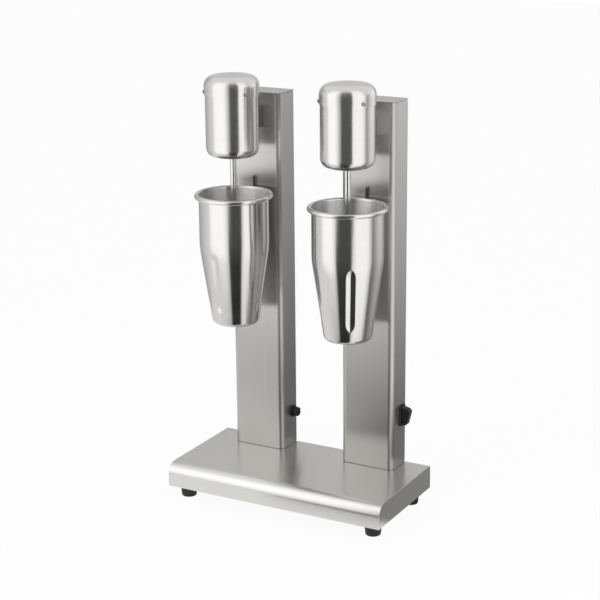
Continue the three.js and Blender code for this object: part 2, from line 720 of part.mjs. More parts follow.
function fuseHolder() {
  const floor = fuse.boreDepth + clearance;
  return turned([
    [0, -fuse.barrelLength],
    [fuse.barrelRadius, -fuse.barrelLength],
    [fuse.barrelRadius, clearance],
    [fuse.flangeRadius, clearance],
    [fuse.flangeRadius, clearance + fuse.flangeThickness],
    [fuse.boreRadius, clearance + fuse.flangeThickness],
    [fuse.boreRadius, -floor],
    [0, -floor],
  ], smallFacets).rotateY(Math.PI / 2);
}

function fuseCap() {
  const seat = fuse.flangeThickness + 2 * clearance;
  const edge = fuse.slotDepth / 2;
  const knob = turned([
    [0, seat - fuse.plugLength],
    [fuse.plugRadius, seat - fuse.plugLength],
    [fuse.plugRadius, seat],
    [fuse.capRadius, seat],
    [fuse.capRadius, fuse.capOut - edge],
    [fuse.capRadius - edge, fuse.capOut],
    [0, fuse.capOut],
  ], smallFacets).rotateY(Math.PI / 2);
  const slot = block(
    [fuse.capOut - fuse.slotDepth, -fuse.capRadius - overrun, -fuse.slotWidth / 2],
    [fuse.capOut + overrun, fuse.capRadius + overrun, fuse.slotWidth / 2]);
  return carve(knob, slot);
}

// Assembly

const mixer = new THREE.Group();

add(mixer, 'base_shell', baseShell(), brushedSteel, -base.width / 2, frontY, baseBottomZ);
add(mixer, 'bottom_plate', bottomPlate(), zincSteel, 0, frontY, baseBottomZ - clearance - plate.thickness);
const footHeight = baseBottomZ - 2 * clearance - plate.thickness;
for (const [sideName, side] of [['left', -1], ['right', 1]]) {
  for (const [endName, y] of [['front', frontY + foot.insetY], ['back', backY - foot.insetY]]) {
    const x = side * (base.width / 2 - foot.insetX);
    add(mixer, `foot_${endName}_${sideName}`, rubberFoot(footHeight), blackRubber, x, y, 0);
  }
}
add(mixer, 'cord_gland', glandBody().rotateX(-Math.PI / 2), blackPlastic,
  0, backY, baseBottomZ + gland.aboveBottom);
add(mixer, 'terminal_block', terminalBlock(), ivoryPlastic, 0, backY - terminal.fromBack, baseBottomZ);

function buildStation(name, side) {
  const place = new THREE.Group();
  place.position.set(side * station.spacing / 2, axisY, 0);
  mixer.add(place);
  const face = columnFrontY - axisY;
  const footZ = baseTopZ + clearance;
  const put = (piece, geometry, material, y, z) =>
    add(place, `${piece}_${name}`, geometry, material, 0, y, z);

  put('column_shell', columnShell(side), brushedSteel, face, footZ);
  put('column_back', columnBack(), brushedSteel, face + channelDepth + clearance, footZ);
  put('column_top', columnTop(), brushedSteel, face, columnTopZ - lid.thickness - lid.skirtDepth);
  put('neck', neckTube(), polishedSteel, 0, neckTopZ - neck.height);

  put('head_shell', headShell(), polishedSteel, 0, headBottomZ);
  put('head_cap', headCap(), polishedSteel, 0, headBottomZ);
  put('lower_bearing', lowerBearingBody(), brass, 0, headBottomZ);
  put('stator', statorBody(), copper, 0, headBottomZ + stator.aboveFloor);
  put('upper_bearing', upperBearingBody(), zincSteel, 0, upperBearingZ);
  put('rotor', rotorBody(), ironStack, 0, headBottomZ + stator.aboveFloor + stator.coilHeight);
  put('spindle', spindleRod(), polishedSteel, 0, spindleFootZ);
  put('agitator', agitatorDisc(), polishedSteel, 0, agitatorZ);

  capScrew.angles.forEach((angle, index) => {
    const turn = new THREE.Group();
    turn.rotation.z = radians(angle);
    place.add(turn);
    const out = -capOuter - clearance - capScrew.headThickness;
    const screw = add(turn, `cap_screw_${index + 1}_${name}`, capScrewBody(), zincSteel,
      0, out, headBottomZ + capScrewZ);
    screw.rotation.x = -Math.PI / 2;
  });

  const hung = put('cup', cupBody(), polishedSteel, 0, cupBottomZ);
  hung.rotation.z = radians(fluteTurn[name] - 90);
  put('cup_hook', cupHook(), polishedSteel, 0, curlZ);
  put('start_lever', startLever(), polishedSteel, 0, curlZ);
  put('cup_bumper', cupBumper(), blackRubber, face - clearance, rimTopZ - bumper.belowRim);
  put('microswitch', microswitchBody(), blackPlastic, 0, curlZ);

  // The machine has one rocker, on the right column, and one fuse, on the left column.
  const control = new THREE.Group();
  place.add(control);
  if (side > 0) {
    control.position.set(column.width / 2, rockerY - axisY, rockerZ);
    add(control, `rocker_housing_${name}`, rockerHousing(), blackPlastic);
    const paddle = add(control, `rocker_${name}`, rockerPaddle(), blackPlastic, rocker.pivotOut, 0, 0);
    paddle.rotation.y = radians(rocker.tilt);
  } else {
    control.position.set(column.width / 2, fuseY - axisY, fuseZ);
    add(control, `fuse_holder_${name}`, fuseHolder(), blackPlastic);
    add(control, `fuse_cap_${name}`, fuseCap(), blackPlastic);
  }
}

buildStation('left', -1);
buildStation('right', 1);

export default mixer;
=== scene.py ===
from math import atan2, cos, degrees, dist, hypot, pi, radians, sin, sqrt, tan
import bmesh
import bpy
from mathutils import Matrix, Vector


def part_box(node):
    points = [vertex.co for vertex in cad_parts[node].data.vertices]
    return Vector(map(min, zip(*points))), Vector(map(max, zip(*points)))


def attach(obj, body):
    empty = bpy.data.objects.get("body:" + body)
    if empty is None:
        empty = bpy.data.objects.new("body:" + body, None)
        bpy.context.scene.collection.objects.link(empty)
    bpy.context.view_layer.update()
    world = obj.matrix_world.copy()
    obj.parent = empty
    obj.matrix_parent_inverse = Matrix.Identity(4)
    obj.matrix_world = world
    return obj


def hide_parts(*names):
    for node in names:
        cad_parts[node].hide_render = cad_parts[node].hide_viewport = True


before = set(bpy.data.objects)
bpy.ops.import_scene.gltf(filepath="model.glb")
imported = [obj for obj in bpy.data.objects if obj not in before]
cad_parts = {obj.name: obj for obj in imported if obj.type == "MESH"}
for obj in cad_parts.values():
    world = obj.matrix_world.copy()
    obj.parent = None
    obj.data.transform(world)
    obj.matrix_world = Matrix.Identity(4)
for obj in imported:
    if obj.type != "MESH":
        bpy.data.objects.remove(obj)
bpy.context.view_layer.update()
mm = 0.001
sides = ("left", "right")


def placed(name, data):
    item = bpy.data.objects.new(name, data)
    bpy.context.scene.collection.objects.link(item)
    return item


# Camera: the photograph's viewing angle, a little to the right of the front and above.
view = {"place": (0.97195, -1.76719, 0.86223), "turn": 28.95, "pitch": 15.69, "roll": -0.56,
        "lens": 98.17, "sensor": 36, "shift": (0.00838, -0.02828), "clipEnd": 50}


def makeCamera():
    turn, pitch, roll = (radians(view[k]) for k in ("turn", "pitch", "roll"))
    forward = Vector((-sin(turn) * cos(pitch), cos(turn) * cos(pitch), -sin(pitch)))
    level = Vector((cos(turn), sin(turn), 0))
    upright = level.cross(forward)
    right = level * cos(roll) + upright * sin(roll)
    up = upright * cos(roll) - level * sin(roll)
    data = bpy.data.cameras.new("photoCamera")
    data.lens = view["lens"]
    data.sensor_width = view["sensor"]
    data.shift_x, data.shift_y = view["shift"]
    data.clip_end = view["clipEnd"]
    camera = placed("photoCamera", data)
    rows = [right, up, -forward]
    camera.matrix_world = Matrix.Translation(Vector(view["place"])) @ Matrix(rows).transposed().to_4x4()
    bpy.context.scene.camera = camera


makeCamera()
print("camera set")


# Materials
def linearColour(hexText):
    channels = [int(hexText[i:i + 2], 16) / 255 for i in (1, 3, 5)]
    return tuple(c / 12.92 if c <= 0.04045 else ((c + 0.055) / 1.055) ** 2.4 for c in channels) + (1.0,)


def addNode(tree, kind, settings=None, links=None):
    node = tree.nodes.new(kind)
    for key, value in (settings or {}).items():
        if isinstance(key, str) and hasattr(node, key):
            setattr(node, key, value)
        else:
            node.inputs[key].default_value = value
    for key, socket in (links or {}).items():
        tree.links.new(socket, node.inputs[key])
    return node


def shade(tree, kind, settings=None, links=None):
    return addNode(tree, "ShaderNode" + kind, settings, links)


def maths(tree, operation, first, second=None):  # the second value is a socket or a number
    node = shade(tree, "Math", {"operation": operation}, {0: first})
    if isinstance(second, (int, float)):
        node.inputs[1].default_value = second
    elif second:
        tree.links.new(second, node.inputs[1])
    return node.outputs[0]


def ranged(tree, value, start, end, low=0.0, high=1.0, kind="LINEAR"):
    settings = {"interpolation_type": kind, "From Min": start, "From Max": end, "To Min": low, "To Max": high}
    return shade(tree, "MapRange", settings, {"Value": value}).outputs[0]


def noise(tree, place, detail, roughness=0.5):
    settings = {"Scale": 1, "Detail": detail, "Roughness": roughness}
    return shade(tree, "TexNoise", settings, {"Vector": place}).outputs["Fac"]


def newMaterial(name):
    material = bpy.data.materials.new(name)
    material.use_nodes = True
    material.node_tree.nodes.clear()
    return material, material.node_tree


def showSurface(tree, shader):
    shade(tree, "OutputMaterial", links={"Surface": shader.outputs[0]})


def scaled(tree, place, scale):
    return shade(tree, "Mapping", {"Scale": scale}, {"Vector": place}).outputs["Vector"]


def objectPlace(tree, sizes):  # object coordinates counted in pattern sizes, given in mm
    return scaled(tree, shade(tree, "TexCoord").outputs["Object"], [1 / (size * mm) for size in sizes])


def uvParts(tree):
    uv = shade(tree, "UVMap", {"uv_map": "UVMap"}).outputs["UV"]
    return shade(tree, "SeparateXYZ", links={"Vector": uv}).outputs


def roundPlace(tree, turns, size):  # UV of a turned piece: once round, and mm along its outline
    parts = uvParts(tree)
    angle = maths(tree, "MULTIPLY", parts["X"], 2 * pi)
    ring = shade(tree, "CombineXYZ", links={"X": maths(tree, "COSINE", angle), "Y": maths(tree, "SINE", angle),
                                            "Z": parts["Y"]})
    return scaled(tree, ring.outputs["Vector"], [turns, turns, 1 / (size * mm)])


def tinted(tree, dark, light, share):
    colours = {"data_type": "RGBA", 6: linearColour(dark), 7: linearColour(light)}
    return shade(tree, "Mix", colours, {"Factor": share}).outputs[2]


def bumped(tree, height, strength, depth):
    return shade(tree, "Bump", {"Strength": strength, "Distance": depth}, {"Height": height}).outputs[0]


# How the two grains of a steel are mixed, and how far the faint patches left by wiping change its roughness
steelGrain = {"fineDetail": 3, "fineRoughness": 0.65, "coarseDetail": 2, "coarseShare": 0.4, "contrast": (0.3, 0.7),
              "patchSize": 60, "patchDetail": 4, "patchContrast": (0.35, 0.65), "patchSwing": 0.25, "depth": 0.00004}


def steel(name, dark, light, roughness, bump, fine, coarse, anisotropy=0.0, grainTurn=0.0, turns=None):
    material, tree = newMaterial(name)
    if turns:
        fine, coarse = roundPlace(tree, turns, fine), roundPlace(tree, turns / 2, coarse)
    else:
        fine, coarse = objectPlace(tree, fine), objectPlace(tree, coarse)
    grain = steelGrain
    fine = noise(tree, fine, grain["fineDetail"], grain["fineRoughness"])
    coarse = noise(tree, coarse, grain["coarseDetail"])
    handled = noise(tree, objectPlace(tree, [grain["patchSize"]] * 3), grain["patchDetail"])
    streaks = shade(tree, "Mix", {"data_type": "FLOAT", "Factor": grain["coarseShare"]}, {2: fine, 3: coarse})
    spread = ranged(tree, streaks.outputs[0], *grain["contrast"])
    patches = ranged(tree, handled, *grain["patchContrast"], -grain["patchSwing"], grain["patchSwing"])
    rough = ranged(tree, maths(tree, "ADD", spread, patches), 0, 1, *roughness)
    tangent = shade(tree, "Tangent", {"direction_type": "UV_MAP", "uv_map": "UVMap"})
    showSurface(tree, shade(
        tree, "BsdfPrincipled", {"Metallic": 1.0, "Anisotropic": anisotropy, "Anisotropic Rotation": grainTurn},
        {"Base Color": tinted(tree, dark, light, spread), "Roughness": rough,
         "Normal": bumped(tree, fine, bump, grain["depth"]), "Tangent": tangent.outputs[0]}))
    return material


# The fine tooth of a moulded face, and the broad clouds in its colour
mouldedGrain = {"detail": 3, "contrast": (0.3, 0.7), "depth": 0.00005,
                "cloudSize": 12, "cloudDetail": 2, "cloudContrast": (0.35, 0.65)}


def moulded(name, dark, light, roughness, bump, size, ior):
    material, tree = newMaterial(name)
    grain = noise(tree, objectPlace(tree, [size] * 3), mouldedGrain["detail"])
    cloud = noise(tree, objectPlace(tree, [mouldedGrain["cloudSize"]] * 3), mouldedGrain["cloudDetail"])
    colour = tinted(tree, dark, light, ranged(tree, cloud, *mouldedGrain["cloudContrast"]))
    rough = ranged(tree, grain, *mouldedGrain["contrast"], *roughness)
    showSurface(tree, shade(tree, "BsdfPrincipled", {"IOR": ior}, {
        "Base Color": colour, "Roughness": rough, "Normal": bumped(tree, grain, bump, mouldedGrain["depth"])}))
    return material


# Each finish: its name, dark and light colour, least and most roughness, and bump. Grain sizes are in mm.
# The real brush lines are finer than a tenth of a mm, so they are drawn coarser to show.
lathe = {"grainTurn": 0.25, "turns": 0.6, "fine": 0.8, "coarse": 5}
finishes = {
    "columnSteel": steel(  # belt-brushed upwards: reflections smear sideways
        "brushedStainlessColumn", "#b8b7b4", "#bebdba", (0.29, 0.33), 0.03,
        anisotropy=0.8, fine=(0.9, 0.9, 90), coarse=(5, 5, 260)),
    "baseSteel": steel(  # belt-brushed along the length: a soft bright nose
        "brushedStainlessBase", "#d5d4d1", "#d9d8d5", (0.235, 0.265), 0.02,
        anisotropy=0.7, grainTurn=0.25, fine=(90, 0.9, 0.9), coarse=(260, 5, 5)),
    "headSteel": steel(  # polished on the lathe: fine rings, bright upright reflections
        "spunStainlessHead", "#cdccca", "#d2d1cf", (0.20, 0.24), 0.025, anisotropy=0.75, **lathe),
    "cupSteel": steel(  # rings run round, so reflections stand upright and the flutes cut them
        "spunStainlessCup", "#cdccca", "#d2d1cf", (0.18, 0.22), 0.03, anisotropy=0.75, **lathe),
    "cupLiningPaintedLight": steel(  # rubbed round and round: light runs down it in streaks. Its colours are set far lighter than the cup's outside steel: painted light for the inside of the cup.
        "scouredStainlessCupLiningPaintedLight", "#efeeec", "#f6f5f3", (0.38, 0.44), 0.05, anisotropy=1.0, **lathe),
    "shaftSteel": steel(  # ground bright: one sharp line of light down the rod
        "groundStainlessShaft", "#c9c8c5", "#d6d5d2", (0.2, 0.28), 0.05,
        anisotropy=0.4, grainTurn=0.25, turns=0.6, fine=0.7, coarse=4),
    "springSteel": steel(  # painted dark: the tab is coloured dark so it stands in for the small dark tick of shade and reflection above the rim
        "springSteelPaintedDark", "#48494c", "#57585b", (0.3, 0.38), 0.04, fine=(0.5, 0.5, 4), coarse=(2, 2, 9)),
    "neckSteel": steel(  # brushed along the arch, a little duller than the head
        "brushedStainlessNeck", "#bebdba", "#cac9c6", (0.22, 0.3), 0.08,
        anisotropy=0.5, grainTurn=0.25, fine=(60, 60, 0.9), coarse=(120, 120, 6)),
    "zincSteel": steel(  # grey and cloudy, with no grain
        "zincPlatedSteel", "#8b8e91", "#a2a5a8", (0.3, 0.42), 0.05, fine=(2, 2, 2), coarse=(9, 9, 9)),
    "screwSteel": steel(  # small bright heads with a dark recess
        "nickelPlatedScrew", "#9b9c9e", "#b3b4b6", (0.28, 0.38), 0.05, fine=(0.5, 0.5, 0.5), coarse=(2, 2, 2)),
    "bronze": steel(  # dull gold, finely pitted by its pores
        "sinteredBronzeBush", "#9d8046", "#b5975a", (0.35, 0.5), 0.2, fine=(0.4, 0.4, 0.4), coarse=(4, 4, 4)),
    "copper": steel(  # wire laid round the ring, under lacquer
        "enamelledCopperWindings", "#8e4a24", "#c0703f", (0.25, 0.4), 0.5,
        fine=(8, 8, 0.8), coarse=(20, 20, 3)),
    "laminations": steel(  # thin stacked sheets
        "laminatedIron", "#4a4d50", "#686b6e", (0.4, 0.55), 0.5, fine=(30, 30, 0.6), coarse=(30, 30, 3)),
    "rubber": moulded(  # near black and matt, with a powdery tooth
        "mouldedRubber", "#141414", "#1f1f1f", (0.55, 0.75), 0.25, size=0.5, ior=1.52),
    "satinPlastic": moulded(  # black with a satin edge light
        "mouldedNylonBlack", "#131313", "#1b1b1b", (0.38, 0.5), 0.15, size=0.35, ior=1.53),
    "glossPlastic": moulded(  # the parts a finger touches: black with small clear highlights
        "polishedAbsBlack", "#0e0e0e", "#151515", (0.2, 0.28), 0.04, size=0.6, ior=1.54),
    "ivoryPlastic": moulded(  # warm off-white, matt
        "mouldedMelamineIvory", "#cfc8b4", "#ddd7c6", (0.4, 0.5), 0.1, size=0.4, ior=1.55),
}
print("materials ready:", len(finishes))


def upright(start, end, height):  # the rows of a plain wall over a line drawn on plan
    return (start, end, 0, 0), (start, end, height, 1)


# Stage: a pale floor inside a light tent. Its grey cloth walls, two lit panels and the dark gap that the
# camera looks through are what the steel mirrors; the camera itself sees only the white floor and surround.
# A sheet's rows run from its foot to its head: two ends on plan, a height, and the share of the way up.
# Its light runs from foot to head. It starts at a share of that along the hem, eases to a share at either
# side, and blends into the white above. A lit sheet lights the object too, and the others are only mirrored.
plainCloth = {"hem": (1, 0.1), "lit": False}
studio = {
    "floorReach": 6.0, "floorColour": "#f0f0ee", "floorGlow": 0.94, "ambient": 0.72, "above": 1.05, "white": 1.0,
    "sheets": {
        "leftPanel": {
            "rows": upright((-0.70, -0.45), (0.12, -0.46), 1.6), "light": (1.5, 1.6), "hem": (0.55, 0.1),
            "sides": (0.85, 0.3), "fades": (0.3, 0.3), "blend": 0.5, "lit": True},
        "rightPanel": {
            "rows": upright((0.36, -0.32), (0.60, 0.13), 1.6), "light": (1.4, 1.5),
            "sides": (0.8, 0.5), "fades": (0.15, 0.4), "blend": 0.5, "lit": True},
        "gap": {
            "rows": (((-0.06, -0.16), (0.16, -0.15), 0.002, 0), ((0.01, -0.45), (0.32, -0.32), 0.002, 0),
                     ((0.01, -0.45), (0.32, -0.32), 0.29, 0.18), ((0.085, -0.45), (0.38, -0.30), 0.34, 0.21),
                     ((0.085, -0.45), (0.38, -0.30), 1.6, 1)),
            "light": (0.02, 0.4), "sides": (2.0, 2.0), "fades": (0.05, 0.05), "blend": 0.45},
        "frontMat": {
            "rows": (((-0.34, -0.25), (0.0, -0.25), 0.001, 0), ((-0.42, -0.44), (0.0, -0.44), 0.001, 1)),
            "light": (0.9, 0.85), "sides": (1.0, 0.45), "fades": (0.01, 0.75), "blend": 1},
        "leftWall": {
            "rows": upright((-0.70, 0.45), (-0.70, -0.45), 1.15), "light": (0.95, 1.1),
            "sides": (0.45, 1.0), "fades": (0.99, 0.01), "blend": 0.7},
        "backLeft": {
            "rows": upright((0.05, 0.80), (-0.70, 0.45), 1.15), "light": (0.55, 0.80),
            "sides": (0.9, 0.9), "fades": (0.2, 0.2), "blend": 0.9},
        # painted shadow: the part of this sheet lying on the floor glows dimly, standing in for the object's shadow
        # on the floor as the steel mirrors it
        "backRight": {
            "rows": (((0.34, -0.12), (-0.02, 0.08), 0.002, 0), ((0.60, 0.13), (0.05, 0.45), 0.002, 0),
                     ((0.60, 0.13), (0.05, 0.45), 0.70, 1)),
            "light": (0.28, 1.5), "sides": (0.4, 0.2), "fades": (0.5, 0.45), "blend": 0.9}}}


def makeSheet(name, faces, material):  # faces of four (corner, u, v)
    mesh = bpy.data.meshes.new(name)
    spots = [spot for face in faces for spot in face]
    mesh.from_pydata([spot[0] for spot in spots], [], [tuple(range(4 * i, 4 * i + 4)) for i in range(len(faces))])
    uvLayer = mesh.uv_layers.new(name="UVMap")
    for i, spot in enumerate(spots):
        uvLayer.data[i].uv = spot[1:]
    mesh.materials.append(material)
    sheet = placed(name, mesh)
    return sheet


def whiteSeen(tree):  # 1 where the camera, or a ray off metal or through a clear thing, meets the background
    path = shade(tree, "LightPath").outputs
    seen = maths(tree, "MAXIMUM", path["Is Camera Ray"], path["Is Glossy Ray"])
    return maths(tree, "MAXIMUM", seen, path["Is Transmission Ray"])


def glowing(tree, kind, strength):
    return shade(tree, kind, {"Color": (1, 1, 1, 1), "Strength": strength})


def mixed(tree, share, first, second):
    return shade(tree, "MixShader", links={0: share, 1: first.outputs[0], 2: second.outputs[0]})


def makeFloor():  # shows white, so the object seems to stand on nothing but its own faint shadow
    material, tree = newMaterial("paleFloor")
    share = maths(tree, "MULTIPLY", whiteSeen(tree), studio["floorGlow"])
    matte = shade(tree, "BsdfDiffuse", {"Color": linearColour(studio["floorColour"])})
    showSurface(tree, mixed(tree, share, matte, glowing(tree, "Emission", studio["white"])))
    reach = studio["floorReach"]
    makeSheet("floor", [[(Vector((x * reach, y * reach, 0)), (x + 1) / 2, (y + 1) / 2)
                         for x, y in ((-1, -1), (1, -1), (1, 1), (-1, 1))]], material)


def makeCloth(name, cloth):  # glows softly, and gives the steel one band of its reflections
    cloth = {**plainCloth, **cloth}
    material, tree = newMaterial(name + "Cloth")
    across, up = uvParts(tree)["X"], uvParts(tree)["Y"]

    def faded(light, *eased):
        return maths(tree, "MULTIPLY", light, ranged(tree, *eased, "SMOOTHSTEP"))

    light = ranged(tree, up, 0, 1, *cloth["light"])
    light = faded(light, across, 0, cloth["fades"][0], cloth["sides"][0], 1)
    light = faded(light, across, 1 - cloth["fades"][1], 1, 1, cloth["sides"][1])
    light = faded(light, up, 0, cloth["hem"][1], cloth["hem"][0], 1)
    upper = ranged(tree, up, cloth["blend"], 1.001, 0, 1, "SMOOTHSTEP")
    light = shade(tree, "Mix", {"data_type": "FLOAT", 3: studio["above"]}, {0: upper, 2: light})
    showSurface(tree, shade(tree, "Emission", {"Color": (1, 1, 1, 1)}, {"Strength": light.outputs[0]}))
    rows = [((Vector((*start, height)), 0, share), (Vector((*end, height)), 1, share))
            for start, end, height, share in cloth["rows"]]
    sheet = makeSheet(name, [[low[0], low[1], high[1], high[0]] for low, high in zip(rows, rows[1:])], material)
    sheet.visible_camera = False
    sheet.visible_shadow = False
    sheet.visible_diffuse = cloth["lit"]


def makeWorld():  # white to the eye, and a softer light all round
    world = bpy.data.worlds.new("whiteStudio")
    world.use_nodes = True
    tree = world.node_tree
    tree.nodes.clear()
    both = mixed(tree, whiteSeen(tree), glowing(tree, "Background", studio["ambient"]),
                 glowing(tree, "Background", studio["white"]))
    shade(tree, "OutputWorld", links={"Surface": both.outputs[0]})
    bpy.context.scene.world = world


makeFloor()
for clothName, clothSettings in studio["sheets"].items():
    makeCloth(clothName, clothSettings)
makeWorld()
bpy.context.scene.view_settings.view_transform = "Standard"
print("stage set")


# Outlines are lists of (across, up) or (across, up, radius) in mm; filleted rounds each marked corner.
def filleted(corners, closed=True, stepDegrees=11):
    points = []
    count = len(corners)
    for i, corner in enumerate(corners):
        here = Vector(corner[:2])
        radius = corner[2] if len(corner) > 2 else 0
        if radius <= 0 or (not closed and i in (0, count - 1)):
            points.append(tuple(here))
            continue
        back = (Vector(corners[i - 1][:2]) - here).normalized()
        ahead = (Vector(corners[(i + 1) % count][:2]) - here).normalized()
        between = back.angle(ahead)
        reach = radius / tan(between / 2)
        middle = here + (back + ahead).normalized() * radius / sin(between / 2)
        start, end = here + back * reach - middle, here + ahead * reach - middle
        sweep = atan2(start.x * end.y - start.y * end.x, start.dot(end))
        steps = max(2, round(abs(degrees(sweep)) / stepDegrees))
        for k in range(steps + 1):
            angle = sweep * k / steps
            points.append((middle.x + start.x * cos(angle) - start.y * sin(angle),
                           middle.y + start.x * sin(angle) + start.y * cos(angle)))
    return points


def arc(middle, radius, angles):
    return [(middle[0] + radius * cos(a), middle[1] + radius * sin(a)) for a in angles]


def settled(item):  # the object's mesh with its modifiers applied
    bpy.context.view_layer.update()
    return bpy.data.meshes.new_from_object(item.evaluated_get(bpy.context.evaluated_depsgraph_get()))


def coat(mesh, finish):
    mesh.materials.clear()
    mesh.materials.append(finishes[finish])


def finished(name, mesh, finish, body, nodes, sharpDegrees=30):
    form = bmesh.new()
    form.from_mesh(mesh)
    bmesh.ops.remove_doubles(form, verts=form.verts, dist=1e-6)
    bmesh.ops.recalc_face_normals(form, faces=form.faces)
    for face in form.faces:
        face.smooth = True
    for edge in form.edges:
        edge.smooth = edge.is_manifold and edge.calc_face_angle(0) < radians(sharpDegrees)
    form.to_mesh(mesh)
    form.free()
    coat(mesh, finish)
    piece = placed(name, mesh)
    flat = piece.modifiers.new("flatFaces", "WEIGHTED_NORMAL")  # broad faces mirror flat right up to their rounds
    flat.mode = "FACE_AREA"
    flat.weight = 90
    flat.keep_sharp = True
    piece.data = settled(piece)
    piece.modifiers.clear()
    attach(piece, body)
    if nodes:
        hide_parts(*nodes)
    return piece


# one of a pair, or of one side only
def sided(name, side, mesh, finish, node, body="stand", sharpDegrees=30):
    return finished(name + side.title(), mesh, finish, body, [f"{node}_{side}"], sharpDegrees)


def turnedMesh(profile, segments, place=None, closed=False, reshape=None):
    mesh = bpy.data.meshes.new("turned")
    form = bmesh.new()
    uvLayer = form.loops.layers.uv.new("UVMap")
    rings, heights, run = [], [], 0.0
    for i, (r, z) in enumerate(profile):
        if i:
            run += dist(profile[i - 1], (r, z))
        heights.append(run * mm)
        ring = []
        for j in range(1 if r < 1e-6 else segments):
            angle = 2 * pi * j / segments
            point = Vector((r * sin(angle), r * cos(angle), z))
            if reshape:
                point = reshape(point)
            ring.append(form.verts.new(point * mm))
        rings.append(ring)
    pairs = [(i, i + 1) for i in range(len(profile) - 1)]
    if closed:
        pairs.append((len(profile) - 1, 0))
        heights.append(heights[-1] + dist(profile[-1], profile[0]) * mm)
    for a, b in pairs:
        if len(rings[a]) == 1 and len(rings[b]) == 1:
            continue
        top = heights[-1] if closed and b == 0 else heights[b]
        for j in range(segments):
            k = (j + 1) % segments
            one = [(rings[a][j % len(rings[a])], j, heights[a]), (rings[a][k % len(rings[a])], j + 1, heights[a]),
                   (rings[b][k % len(rings[b])], j + 1, top), (rings[b][j % len(rings[b])], j, top)]
            corners = [c for n, c in enumerate(one) if c[0] not in [d[0] for d in one[:n]]]
            face = form.faces.new([c[0] for c in corners])
            for loop, corner in zip(face.loops, corners):
                loop[uvLayer].uv = (corner[1] / segments, corner[2])
    if place is not None:
        bmesh.ops.transform(form, matrix=place, verts=form.verts)
    form.to_mesh(mesh)
    form.free()
    return mesh


def cylinder(radius, low, high, segments, place):
    return turnedMesh([(0, low), (radius, low), (radius, high), (0, high)], segments, place)


def at(x, y, z=0, axis="Z"):  # where a turned piece's axis goes, with its own top towards axis
    turn = {"Z": (0, "Z"), "X": (90, "Y"), "Y": (-90, "X"), "-Y": (90, "X")}[axis]
    return Matrix.Translation(Vector((x, y, z)) * mm) @ Matrix.Rotation(radians(turn[0]), 4, turn[1])


def extrudedMesh(outline, axis, low, high, edge=0.0, steps=3):
    mesh = bpy.data.meshes.new("extruded")
    form = bmesh.new()
    # outlines are drawn as (y, z) for axis X, (x, z) for axis Y and (x, y) for axis Z
    spots = {"X": lambda a, b, d: (d, a, b), "Y": lambda a, b, d: (a, d, b), "Z": lambda a, b, d: (a, b, d)}[axis]
    ends = [[form.verts.new(Vector(spots(a, b, d)) * mm) for a, b in outline] for d in (low, high)]
    count = len(outline)
    caps = [form.faces.new(ends[0]), form.faces.new(ends[1])]
    for i in range(count):
        form.faces.new((ends[0][i], ends[0][(i + 1) % count], ends[1][(i + 1) % count], ends[1][i]))
    bmesh.ops.recalc_face_normals(form, faces=form.faces)
    if edge > 0:
        rims = [e for cap in caps for e in cap.edges]
        bmesh.ops.bevel(form, geom=rims, offset=edge * mm, segments=steps, profile=0.5, affect="EDGES",
                        clamp_overlap=True)
    boxUv(form)
    form.to_mesh(mesh)
    form.free()
    return mesh


def slab(low, high, axis, rounds=0.0, edge=0.0, steps=3, bendStep=11):
    # a box between two corners, with one radius about its axis or one for each of the four edges along it
    a, b, deep = {"X": (1, 2, 0), "Y": (0, 2, 1), "Z": (0, 1, 2)}[axis]
    if isinstance(rounds, (int, float)):
        rounds = [rounds] * 4
    spots = ((low[a], low[b]), (high[a], low[b]), (high[a], high[b]), (low[a], high[b]))
    outline = filleted([(*spot, radius) for spot, radius in zip(spots, rounds)], stepDegrees=bendStep)
    return extrudedMesh(outline, axis, low[deep], high[deep], edge, steps)


def plug(middle, size, low, high, radius=0.0):  # a block along X, centred on a node's middle
    wide, tall = size[0] / 2, size[1] / 2
    return slab((low, middle.y - wide, middle.z - tall), (high, middle.y + wide, middle.z + tall), "X", radius)


def boxUv(form):  # U runs level, and V up, on each side
    uvLayer = form.loops.layers.uv.get("UVMap") or form.loops.layers.uv.new("UVMap")
    for face in form.faces:
        widest = max(range(3), key=lambda i: abs(face.normal[i]))
        a, b = ((1, 2), (0, 2), (0, 1))[widest]
        for loop in face.loops:
            loop[uvLayer].uv = (loop.vert.co[a], loop.vert.co[b])


def carved(mesh, cutters):
    body = placed("carved", mesh)
    tools = []
    for cutter in cutters:
        tools.append(placed("cutter", cutter))
        cut = body.modifiers.new("cut", "BOOLEAN")
        cut.operation = "DIFFERENCE"
        cut.solver = "EXACT"
        cut.object = tools[-1]
    result = settled(body)
    for spare in tools + [body]:
        bpy.data.objects.remove(spare)
    form = bmesh.new()
    form.from_mesh(result)
    boxUv(form)
    form.to_mesh(result)
    form.free()
    return result


def joined(meshes):
    form = bmesh.new()
    for mesh in meshes:
        form.from_mesh(mesh)
    result = bpy.data.meshes.new("joined")
    form.to_mesh(result)
    form.free()
    return result


def sizesOf(node):  # a CAD node's box in mm
    low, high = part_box(node)
    return low / mm, high / mm


def middleOf(node):
    low, high = sizesOf(node)
    return (low + high) / 2


# Base
base = {"nose": 15.5, "heel": 2.4, "hem": 0.6, "bendStep": 5, "edge": 0.9, "edgeSteps": 4, "sharp": 40,
        "plateRound": 3, "plateEdge": 0.25}


def makeBase():
    low, high = sizesOf("base_shell")
    rounds = (base["hem"], base["hem"], base["heel"], base["nose"])
    mesh = slab(low, high, "X", rounds, base["edge"], base["edgeSteps"], base["bendStep"])
    finished("foldedBase", mesh, "baseSteel", "stand", ["base_shell"], base["sharp"])
    plate = slab(*sizesOf("bottom_plate"), "Z", base["plateRound"], base["plateEdge"], 2)
    finished("bottomPlate", plate, "zincSteel", "stand", ["bottom_plate"])


makeBase()
print("base made")


